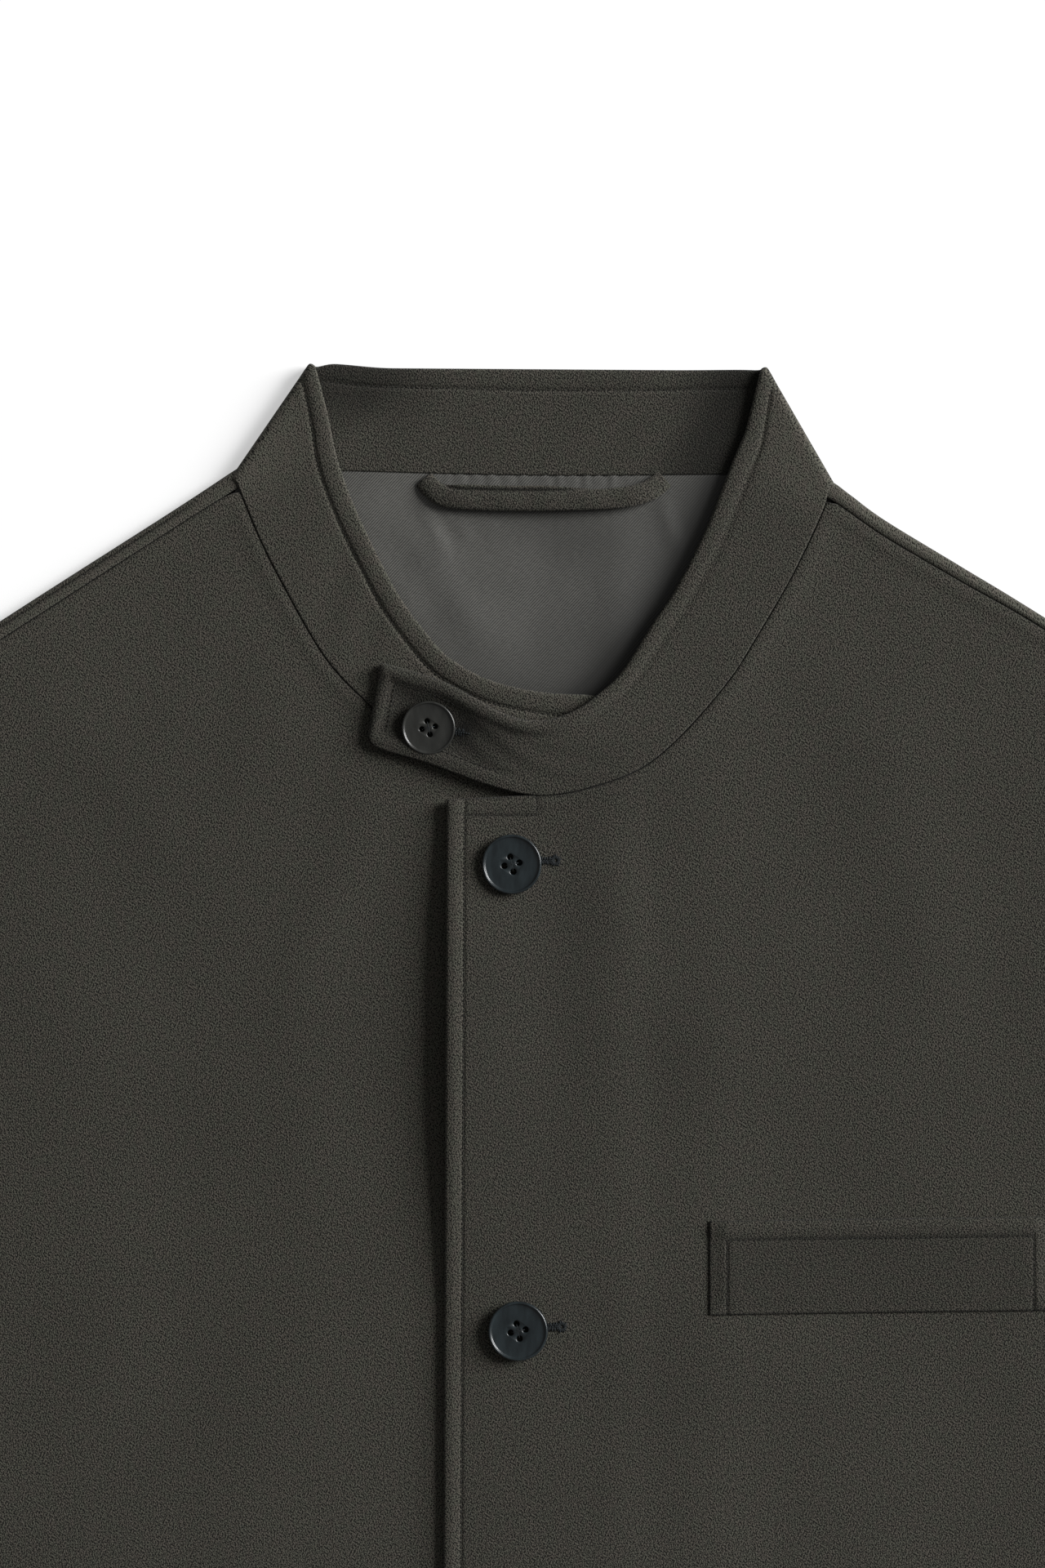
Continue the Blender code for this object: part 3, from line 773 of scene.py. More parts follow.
@dataclass(frozen=True)
class Cut:
    """Plan of the body: its shoulders, its sides with the armholes, and its hem."""

    left_shoulder: tuple[ShoulderRow, ...] = (
        ShoulderRow(-97.6, 2.3, -4.6),
        ShoulderRow(-118.0, -11.1, -17.4),
        ShoulderRow(-175.4, -47.8, -54.3),
        ShoulderRow(-245.0, -93.5, -99.5),
    )
    right_shoulder: tuple[ShoulderRow, ...] = (
        ShoulderRow(104.6, -1.4, -8.0),
        ShoulderRow(110.4, -5.6, -12.0),
        ShoulderRow(122.0, -14.1, -20.0),
        ShoulderRow(147.2, -29.4, -34.8),
        ShoulderRow(175.4, -46.6, -51.0),
        ShoulderRow(245.0, -91.0, -95.5),
    )
    left_tuck: ShoulderRow = ShoulderRow(-92.0, 5.6, -1.2)
    right_tuck: ShoulderRow = ShoulderRow(99.0, 0.6, -5.2)
    side_seam: tuple = ((284.0, -720.0), (285.5, -520.0), (287.0, -322.0))
    armhole: tuple = ((287.0, -322.0), (268.0, -283.0), (253.0, -225.0), (247.0, -160.0), (245.0, -99.5))
    hem: float = -0.720
    shoulder_steps: int = 16
    side_steps: int = 12
    row_step: float = 0.0048
    top_rows: tuple[float, float, float] = (3.4, 8.2, 0.4)
    hem_step: float = 0.4

    def shoulder(self, hand: Hand, tucked: bool = False) -> tuple[Array, Array]:
        """Plan lines of the roll and of the seam along one shoulder, from the neck to the tip.

        Args:
            hand: Which shoulder.
            tucked: Whether the lines start under the collar's fold.

        Returns:
            The roll's line and the seam's line.
        """
        rows = self.left_shoulder if hand is Hand.LEFT else self.right_shoulder
        if tucked:
            rows = (self.left_tuck if hand is Hand.LEFT else self.right_tuck, *rows)
        table = through(np.array(rows) * MM, self.shoulder_steps)
        return table[:, [0, 1]], table[:, [0, 2]]

    def armhole_line(self, hand: Hand, tip: Array) -> Array:
        """Plan of one armhole from the underarm up to this tip.

        Args:
            hand: Which armhole.
            tip: Plan of the shoulder's tip.

        Returns:
            Plan points.
        """
        table = np.array(self.armhole) * MM * [hand.value, 1]
        table[-1] = tip
        return through(table, self.side_steps)

    def side(self, hand: Hand, tip: Array) -> Array:
        """Plan of one side of the body from the hem up to this tip of the shoulder."""
        seam = np.array(self.side_seam) * MM * [hand.value, 1]
        return np.vstack([through(seam, self.side_steps), self.armhole_line(hand, tip)[1:]])

    def climb(self, side: Array) -> Array:
        """Places of a panel's rows: close at the hem and its stitching, at the armhole's foot and at the top.

        Args:
            side: Plan of the side from the hem up.

        Returns:
            Shares of the side's length.
        """
        reach = length_along(side)
        foot = reach[self.side_steps * (len(self.side_seam) - 1)]
        under_top = reach[-1] - np.arange(*self.top_rows) * MM
        hem_fold = np.arange(*HEM_ROWS, self.hem_step) * MM
        return with_extra(stations(reach[-1], FINE, self.row_step), [foot], under_top, hem_fold) / reach[-1]


CUT = Cut()


@dataclass(frozen=True)
class Lay:
    """Heights of the layers as they lie on each other, and the wall of each."""

    front_low: float = 0.0019
    front_lift: float = 0.0012
    overlap_lift: float = 0.0018
    facing: float = 0.0008
    lining: float = 0.0010
    layer_gap: float = 0.0003
    sides: tuple[float, float] = (0.287, 0.170)
    lap: tuple[float, float] = (0.120, 0.030)
    facing_end: tuple[float, float] = (0.030, 0.045)

    def under_low(self, x: Array) -> Array:
        """Lower face of the under front, which sinks towards the sides."""
        return self.front_low + self.front_lift * ease(np.abs(x), *self.sides)

    def over_low(self, x: Array) -> Array:
        """Lower face of the over front, which climbs over the under front near the middle."""
        return self.under_low(x) + self.overlap_lift * ease(x, *self.lap)

    def over_wall(self, x: Array) -> Array:
        """Thickness of the over front, with its facing turned under along the buttonholes."""
        return CLOTH + self.facing * (1.0 - ease(x, *self.facing_end))

    def front_middle(self, x: Array) -> Array:
        """Middle of whichever front meets the back's shoulder here."""
        return np.where(x < 0, self.under_low(x), self.over_low(x)) + CLOTH / 2


LAY = Lay()


def panel_plan(top: Array, share: Array, left: Array, right: Array, climb: Array) -> Array:
    """Plan of a panel: straight columns from hem to top edge, each bent by its share of the sides' bends.

    Args:
        top: The top end of each column.
        share: Where each column stands along the hem, from 0 at the left to 1 at the right.
        left: The left edge at each row.
        right: The right edge at each row.
        climb: Share of the way up at each row.

    Returns:
        Plan points as [column, row].
    """
    across = share[:, None, None]
    rise = climb[:, None]
    hem = left[0] * (1 - across) + right[0] * across
    straight = hem * (1 - rise) + top[:, None] * rise
    left_bend = left - (left[0] * (1 - rise) + left[-1] * rise)
    right_bend = right - (right[0] * (1 - rise) + right[-1] * rise)
    return straight + (1 - across) * left_bend + across * right_bend


class Edges(NamedTuple):
    """How far each plan point of a panel is from the panel's four edges."""

    left: Array
    right: Array
    hem: Array
    top: Array


def edge_distances(plan: Array) -> Edges:
    """Distances along rows and columns, and for the upper rows the shortest way to the top edge.

    Args:
        plan: Plan points as [column, row].

    Returns:
        The distance of each point from each edge.
    """
    start, span = plan[:-1, -1], np.diff(plan[:, -1], axis=0)
    offset = plan[:, -TOP_ROWS:, None] - start
    share = np.clip((offset * span).sum(axis=-1) / (span * span).sum(axis=-1), 0.0, 1.0)
    top = np.linalg.norm(plan - plan[:, -1:], axis=-1)
    top[:, -TOP_ROWS:] = np.linalg.norm(offset - share[..., None] * span, axis=-1).min(axis=-1)
    return Edges(
        np.linalg.norm(plan - plan[:1], axis=-1),
        np.linalg.norm(plan - plan[-1:], axis=-1),
        np.linalg.norm(plan - plan[:, :1], axis=-1),
        top,
    )


# The collar


class CollarRow(NamedTuple):
    """Across the collar band: plan of its sewn edge, plan of its free edge, and heights of its middle."""

    seam_x: float
    seam_y: float
    top_x: float
    top_y: float
    seam_z: float
    top_z: float


class CollarFold(NamedTuple):
    """Outer edge of a fold in the collar band, from its sewn edge to its free edge."""

    seam_x: float
    seam_y: float
    top_x: float
    top_y: float


class Band(NamedTuple):
    """The collar band's middle: sewn edge, free edge, outward side, and where the over part starts."""

    seam: Array
    top: Array
    outside: Array
    over_from: int


@dataclass(frozen=True)
class Collar:
    """The stand collar: one band folded at both sides of the neck, whose over end is the buttoned tab."""

    under: tuple[CollarRow, ...] = (
        CollarRow(31.0, -101.0, 34.0, -76.0, 3.6, 4.6),
        CollarRow(20.0, -100.0, 23.5, -73.0, 3.6, 5.0),
        CollarRow(8.0, -99.5, 10.0, -72.3, 3.6, 5.4),
        CollarRow(-8.0, -97.0, -3.0, -70.2, 3.6, 5.6),
        CollarRow(-25.0, -91.5, -13.5, -66.8, 3.6, 5.6),
        CollarRow(-40.0, -84.5, -23.6, -61.1, 3.6, 5.5),
        CollarRow(-51.0, -76.4, -30.0, -54.9, 3.6, 5.3),
        CollarRow(-66.3, -60.3, -41.9, -38.9, 3.6, 5.0),
        CollarRow(-81.4, -34.0, -53.5, -16.0, 3.7, 4.7),
        CollarRow(-88.5, -19.7, -59.0, -3.0, 3.7, 4.6),
        CollarRow(-93.0, -9.0, -62.6, 8.0, 3.7, 4.5),
        CollarRow(-94.8, -4.5, -65.0, 20.0, 3.7, 4.4),
    )
    over: tuple[CollarRow, ...] = (
        CollarRow(102.4, -6.5, 75.5, 17.0, 4.3, 4.4),
        CollarRow(99.5, -14.0, 70.5, 5.5, 4.3, 4.7),
        CollarRow(90.4, -32.9, 61.5, -17.5, 4.5, 5.1),
        CollarRow(78.1, -54.0, 51.3, -37.5, 4.9, 5.5),
        CollarRow(69.0, -68.2, 43.5, -49.2, 5.3, 6.0),
        CollarRow(54.0, -85.5, 33.2, -65.3, 5.8, 6.9),
        CollarRow(41.6, -96.2, 25.0, -72.9, 6.2, 7.8),
        CollarRow(29.6, -101.7, 17.5, -78.1, 6.5, 8.5),
        CollarRow(14.2, -105.8, 9.0, -81.2, 6.6, 8.9),
        CollarRow(2.2, -106.3, 0.0, -81.1, 6.7, 9.0),
        CollarRow(-11.5, -103.0, -8.5, -78.1, 6.7, 8.8),
        CollarRow(-23.0, -98.9, -17.3, -73.2, 6.6, 8.4),
        CollarRow(-34.5, -94.8, -27.4, -68.0, 6.5, 7.9),
        CollarRow(-46.0, -91.6, -40.8, -63.8, 6.3, 7.2),
        CollarRow(-50.2, -89.4, -45.2, -62.6, 6.2, 6.9),
        CollarRow(-51.9, -86.0, -47.4, -62.2, 6.1, 6.8),
    )
    left_fold: CollarFold = CollarFold(-98.2, 0.2, -71.6, 39.0)
    right_fold: CollarFold = CollarFold(105.0, -1.9, 82.1, 37.8)
    thickness: float = 0.0024
    end_round: float = 0.0030
    fold_radius: float = 0.0016
    turn_points: int = 15
    back_points: int = 110
    back_bow: float = 0.0053
    back_dip: float = 0.0013
    back_rise: float = -0.0001
    fold_rise: float = 0.0014
    left_rise: tuple[float, float] = (0.17, 0.02)
    right_rise: tuple[float, float] = (0.8, 0.98)
    right_share: float = 0.2
    back_lap: tuple[float, float] = (-0.0007, 0.0008)
    back_stitch: float = 0.0071
    tab_stitch: float = 0.0055
    stitch_shift: tuple[int, int] = (0, 60)
    nominal_width: float = 0.030
    row_step: float = 0.0016
    groove_rows: tuple[float, float, float] = (4.2, 8.6, 0.35)
    free_row: int = 9
    groove: float = 0.00055
    groove_width: float = 0.0008
    over_groove: tuple[float, float] = (0.45, 0.0006)
    over_starts: tuple[int, int] = (0, 20)
    over_lies: tuple[int, int] = (20, 90)
    edge_swell: float = 0.00030
    over_swell: float = 0.00045
    inner_swell: float = 0.6
    hollow: float = 0.0018
    hollow_radius: float = 0.020
    hollow_border: tuple[float, float] = (0.0040, 0.0090)
    uneven: float = 0.00016
    uneven_rates: tuple[float, float] = (190.0, 61.0)
    # Painted shading: painted shade on the tab round its button, inside the neck where the band's shadow
    # falls and round the tab's buttonhole, and painted light along both folds and on the under part
    tab_painted_shade: float = 0.54
    tab_radius: float = 0.027
    tab_border: tuple[float, float] = (0.003, 0.008)
    under_painted_light: float = -0.34
    under_span: tuple[int, int] = (130, 90)
    fold_painted_light: float = -0.80
    left_spans: tuple = ((94, 110), (121, 114))
    right_spans: tuple = ((-9, -3), (14, 0))
    fold_fade: tuple[float, float] = (0.5, 0.95)
    inside_painted_shade: float = 0.75
    inside_reach: tuple[float, float] = (0.034, 0.009)
    inside_spans: tuple = ((126, 128), (-9, -13))
    corner_spans: tuple = ((121, 127), (160, 140))
    corner_width: tuple[float, float] = (0.3, 0.75)
    corner_share: float = 0.75
    button: tuple[float, float] = (-0.0315, -0.0838)
    hole: tuple[float, float] = (-0.0195, -0.0845)
    hole_painted_shade: float = 0.5
    hole_radius: float = 0.0038
    steps: int = 10

    def front_part(self, rows: tuple[CollarRow, ...]) -> tuple[Array, Array]:
        """Sewn and free edges of the band's middle where it lies over a front."""
        table = through(np.array(rows) * MM, self.steps)
        return table[:, [0, 1, 4]], table[:, [2, 3, 5]]

    def turned(self, fold: CollarFold, downwards: bool) -> tuple[Array, Array]:
        """Both edges of the band's middle round a fold: a half circle about a line inside the fold's edge.

        Args:
            fold: Outer edge of the fold.
            downwards: Whether the band goes from its upper layer to its lower one.

        Returns:
            Points of the sewn edge and of the free edge.
        """
        seam = np.array([fold.seam_x, fold.seam_y, 0]) * MM
        top = np.array([fold.top_x, fold.top_y, 0]) * MM
        line = unit(top - seam)
        outward = np.array([line[1], -line[0], 0]) * math.copysign(1, fold.seam_x)
        inset = self.fold_radius + self.thickness / 2
        angles = np.linspace(0, math.pi, self.turn_points)
        if not downwards:
            angles = angles[::-1]
        swing = np.sin(angles)[:, None] * outward + np.cos(angles)[:, None] * UP
        turn = inset * (UP - outward) + self.fold_radius * swing
        return seam + turn, top + turn

    def back_seam(self, count: int = 81) -> Array:
        """Sewn edge of the band's middle at the back of the neck: a raised line that dips in the middle.

        Args:
            count: How many points.

        Returns:
            The points from left to right.
        """
        left = self.turned(self.left_fold, True)[0][-1]
        right = self.turned(self.right_fold, False)[0][0]
        share = np.linspace(0, 1, count)[:, None]
        bow = self.back_bow * between(share, 0.18)
        dip = self.back_dip * np.sin(math.pi * share) ** 2
        return left * (1 - share) + right * share + (bow - dip) * [0, 1, 0]

    def band(self) -> Band:
        """The whole band from its hidden end round the neck to the tab.

        Returns:
            The band's middle.
        """
        under = self.front_part(self.under)
        left = self.turned(self.left_fold, True)
        right = self.turned(self.right_fold, False)
        over = self.front_part(self.over)
        share = np.linspace(0, 1, self.back_points)[1:-1, None]
        climb = ease(share, *self.left_rise) + self.right_share * ease(share, *self.right_rise)
        climb = (self.back_rise + self.fold_rise * climb) * between(share, 0.03)
        back_top = left[1][-1] * (1 - share) + right[1][0] * share + climb * [0, 1, 0]
        back_seam = self.back_seam(self.back_points)[1:-1] + between(share, 0.1) * [0, *self.back_lap]
        parts = [under, left, (back_seam, back_top), right, over]
        seam = softened(np.vstack([part[0] for part in parts]), 2)
        top = softened(np.vstack([part[1] for part in parts]), 2)
        outside = unit(np.cross(top - seam, np.gradient((seam + top) / 2, axis=0)))
        return Band(seam, top, outside, len(seam) - len(over[0]))

    def neck_plan(self, rows: tuple[CollarRow, ...]) -> Array:
        """Plan of a front's neck edge: the band's sewn edge moved a little away from its free edge."""
        seam, top = self.front_part(rows)
        return (seam - unit(top - seam) * SEAM_GAP / 2)[:, :2]

    def inner_edge_x(self, y: Array) -> Array:
        """X of the over part's free edge where it bounds what shows inside the neck.

        Args:
            y: Plan up.

        Returns:
            The edge's X at each.
        """
        rows = [(row.top_x, row.top_y) for row in self.over[: self.free_row]]
        edge = np.array([(self.right_fold.top_x, self.right_fold.top_y), *rows])[::-1] * MM
        return np.interp(y, edge[:, 1], edge[:, 0])

    def stitch_inset(self, band: Band) -> Array:
        """How far the top stitching runs from the free edge: wider at the back than on the over part."""
        place = np.arange(len(band.seam)) - band.over_from
        return self.back_stitch + (self.tab_stitch - self.back_stitch) * ease(place, *self.stitch_shift)

    def from_button(self, middle: Array) -> Array:
        """How far each point is from the tab's button in plan."""
        return np.hypot(middle[..., 0] - self.button[0], middle[..., 1] - self.button[1])

    def faces(self) -> tuple[Array, Array, Array, Array]:
        """Both faces of the band: round edges, a stitched groove inside them, a hollow round the button.

        Returns:
            Grids of the outer face, of the inner face, of the UV and of the painted shading.
        """
        band = self.band()
        near = np.arange(*self.groove_rows) * MM
        width = stations(self.nominal_width, FINE, self.row_step)
        share = with_extra(width, self.nominal_width - near, near[3:8]) / self.nominal_width
        span = np.linalg.norm(band.top - band.seam, axis=1)
        middle = band.seam[:, None] + (band.top - band.seam)[:, None] * share[:, None]
        from_seam = share * span[:, None]
        from_top = (1 - share) * span[:, None]
        steps = np.linalg.norm(np.diff(middle, axis=0), axis=-1)
        from_start = np.concatenate([np.zeros((1, len(share))), np.cumsum(steps, axis=0)])
        from_end = from_start[-1] - from_start
        free = from_end < from_end[band.over_from + self.free_row * self.steps].mean()
        border = np.minimum(from_top, from_end)
        border = np.where(free, np.minimum(border, from_seam), border)
        half = self.thickness / 2 * rounded(from_top, HEM_ROUND) * rounded(from_end, self.end_round)
        half = half * rounded(from_start, HEM_ROUND) * rounded(from_seam, SEAM_ROUND)
        inset = self.stitch_inset(band)[:, None]
        place = np.arange(len(band.seam))[:, None] - band.over_from
        over = ease(place, *self.over_lies)
        soft = ease(place, *self.over_starts)
        stitched = -self.groove * (1.0 - self.over_groove[0] * soft)
        stitched = stitched * line_at(border, inset, self.groove_width + self.over_groove[1] * soft)
        swell = self.edge_swell * line_at(border, inset * 0.45, inset * 0.35)
        swell = swell + self.over_swell * over * line_at(from_top, inset * 0.5, inset * 0.45)
        pressed = np.exp(-((self.from_button(middle) / self.hollow_radius) ** 2))
        hollow = -self.hollow * pressed * ease(border, *self.hollow_border)
        fast, slow = self.uneven_rates
        wander = np.sin(from_start * fast + 2.0 * np.sin(from_start * slow))
        uneven = self.uneven * wander * np.sin(math.pi * share)
        seen_out = np.clip(band.outside[:, 2:], 0.0, 1.0)
        seen_in = np.clip(-band.outside[:, 2:], 0.0, 1.0)
        out = half + (stitched + swell + uneven + hollow * over) * seen_out
        into = half + (stitched + swell * self.inner_swell + uneven) * seen_in
        outer = middle + band.outside[:, None] * out[..., None]
        inner = middle - band.outside[:, None] * into[..., None]
        return outer, inner, middle[..., :2], self.painted_shading(band, middle, share, border)

    def painted_shading(self, band: Band, middle: Array, share: Array, border: Array) -> Array:
        """Painted shading: painted shade on the tab, inside the neck and round the tab's buttonhole, painted
        light at the folds and on the under part.

        Args:
            band: The band's middle.
            middle: Grid of points on it.
            share: Where each row lies between the sewn edge and the free edge.
            border: How far each point is from the free edges.

        Returns:
            The painted shading over the grid.
        """
        place = np.arange(len(band.seam))[:, None] * np.ones_like(share)
        past_fold = place - band.over_from
        tab = np.exp(-((self.from_button(middle) / self.tab_radius) ** 4)) * ease(past_fold, *self.over_lies)
        tab = tab * (0.6 + 0.4 * ease(border, *self.tab_border))
        folds = ease(place, *self.left_spans[0]) * ease(place, *self.left_spans[1])
        folds = folds + ease(past_fold, *self.right_spans[0]) * ease(past_fold, *self.right_spans[1])
        folds = folds * (1.0 - 0.9 * ease(share, *self.fold_fade))
        from_edge = self.inner_edge_x(middle[..., 1]) - middle[..., 0]
        inside = ease(from_edge, *self.inside_reach) * ease(past_fold, *self.inside_spans[1])
        inside = inside * ease(place, *self.inside_spans[0])
        corner = ease(place, *self.corner_spans[0]) * ease(place, *self.corner_spans[1])
        inside = inside + self.corner_share * corner * ease(share, *self.corner_width)
        hole = np.hypot(middle[..., 0] - self.hole[0], middle[..., 1] - self.hole[1])
        # Painted shade on the tab and round its buttonhole, painted light on the under part and the folds,
        # painted shade inside the neck
        painted_shading = self.tab_painted_shade * tab + self.under_painted_light * ease(place, *self.under_span)
        painted_shading = painted_shading + self.hole_painted_shade * line_at(hole, 0.0, self.hole_radius)
        return painted_shading + self.fold_painted_light * folds + self.inside_painted_shade * inside

    def build(self, wool: bpy.types.Material) -> None:
        """Makes the collar and logs its cut and area."""
        sheet = Sheet("collar_band", "collar", (0.600, 0.048), ("front_under", "front_over"))
        sheet.add(wall(*self.faces()), wool)


COLLAR = Collar()


# The body

# A front's columns, the ridge along its top seam with painted shade for a dark line in that seam, and painted
# light that makes the cloth below its shoulder paler
COLUMN_STEP = 0.0042
SEAM_RIDGE = 0.00035
RIDGE_PLACE = 0.0026
RIDGE_WIDTH = 0.0028
SEAM_PAINTED_SHADE = 0.65
SEAM_LINE = 0.0005
SHOULDER_PAINTED_LIGHT = -0.22
SHOULDER_REACH = 0.022
SHOULDER_FROM = (0.04, 0.09)


def front_top(neck: Array, seam: Array) -> Array:
    """Plan of a front's top edge: up the collar seam from the middle, then out along the shoulder seam.

    Args:
        neck: The front's neck edge, rising from the middle.
        seam: The shoulder seam from the neck to the tip.

    Returns:
        One line, with a corner where the two meet.
    """
    corner_y = seam[0, 1]
    corner = [np.interp(corner_y, neck[:, 1], neck[:, 0]), corner_y]
    return np.vstack([neck[neck[:, 1] < corner_y - SEAM_GAP], corner, seam[1:]])


def front_columns(line: Array, corner_y: float) -> Array:
    """Places of a front's columns along its top edge, with one at the corner between neck and shoulder.

    Args:
        line: Plan of the top edge.
        corner_y: Plan Y of that corner.

    Returns:
        Distances along the edge.
    """
    reach = length_along(line)
    corner = reach[np.argmin(np.abs(line[:, 1] - corner_y))]
    return with_extra(stations(reach[-1], FINE, COLUMN_STEP), [corner])


def front_surface(plan: Array, low: Array, thickness: Array, relief: Array, shade: Array) -> Surface:
    """A front as a wall on a height field, with round edges, a ridge along its top seam and a stitched hem.

    Args:
        plan: Plan points as [column, row].
        low: Heights of the lower face.
        thickness: The wall.
        relief: Heights added to the upper face.
        shade: Painted shading away from the top edge.

    Returns:
        The front's surface.
    """
    edges = edge_distances(plan)
    ridge = SEAM_RIDGE * line_at(edges.top, RIDGE_PLACE, RIDGE_WIDTH)
    high = low + thickness + relief + ridge - hem_groove(edges.hem)
    shape = rounded(edges.left, FRONT_ROUND) * rounded(edges.right, FRONT_ROUND)
    shape = shape * rounded(edges.hem, HEM_ROUND) * rounded(edges.top, SEAM_ROUND)
    # Painted shade for a dark line in the top seam, and painted light on the cloth below the shoulder
    by_shoulder = np.exp(-edges.top / SHOULDER_REACH) * ease(np.abs(plan[..., 0]), *SHOULDER_FROM)
    painted_shading = shade + SEAM_PAINTED_SHADE * line_at(edges.top, 0.0, SEAM_LINE) + SHOULDER_PAINTED_LIGHT * by_shoulder
    return field_wall(plan, low, high, shape, painted_shading)


@dataclass(frozen=True)
class UnderFront:
    """The front that lies under, at the left, from its side to past the middle."""

    edge_x: float = 0.0200
    # Painted light: a little all over the under front, and more beside the other front's edge, inside the
    # shadow that edge casts
    painted_shading: float = -0.05
    placket_painted_light: float = -0.85
    placket_reach: float = 0.0060
    placket_spread: float = 1.6
    placket_fade: tuple[float, float] = (1.0, 0.3)
    placket_top: tuple[float, float] = (-0.106, -0.110)
    folds: tuple[Crease, ...] = (
        Crease(-152, -128, -144, -350, 20, 0.42),
        Crease(-112, -140, -120, -420, 17, -0.36),
        Crease(-74, -128, -66, -330, 14, 0.38),
        Crease(-48, -98, -82, -185, 9, 0.42),
        Crease(-165, -62, -118, -132, 13, 0.40),
        Crease(-96, -52, -112, -118, 10, -0.30),
        Crease(-264, -340, -186, -452, 17, 0.95),
        Crease(-238, -180, -205, -300, 20, 0.70),
        Crease(-205, -438, -84, -548, 24, 0.80),
        Crease(-128, -668, -52, -505, 22, -0.60),
        Crease(-232, -690, -214, -560, 18, 0.75),
    )

    def shade(self, x: Array, y: Array) -> Array:
        """Painted light on the under front: a little everywhere, and more beside the other front's edge where
        its shadow falls, the wider the more that edge gapes.
        """
        beside = (OVER.edge_x(y) - x) / (self.placket_reach + self.placket_spread * OVER.lift(y))
        return self.painted_shading + self.placket_painted_light * ease(beside, *self.placket_fade) * ease(y, *self.placket_top)

    def build(self, wool: bpy.types.Material) -> None:
        """Makes the under front and logs its cut and area."""
        seam = CUT.shoulder(Hand.LEFT)[1]
        line = front_top(COLLAR.neck_plan(COLLAR.under), seam)[::-1]
        side = CUT.side(Hand.LEFT, line[0])
        climb = CUT.climb(side)
        left = at_length(side, climb * length_along(side)[-1])
        foot = np.array([self.edge_x, CUT.hem])
        right = foot * (1 - climb[:, None]) + line[-1] * climb[:, None]
        columns = front_columns(line, seam[0, 1])
        plan = panel_plan(at_length(line, columns), columns / columns[-1], left, right, climb)
        x, y = plan[..., 0], plan[..., 1]
        low = LAY.under_low(x)
        relief = creased(self.folds, x, y)
        surface = front_surface(plan, low, np.full_like(low, CLOTH), relief, self.shade(x, y))
        Sheet("front_under_cloth", "front_under", (0.315, 0.730), ("back",)).add(surface, wool)


class GapeRow(NamedTuple):
    """How far the over front's edge stands off the under front at one height of the plan, in millimetres."""

    y: float
    lift: float


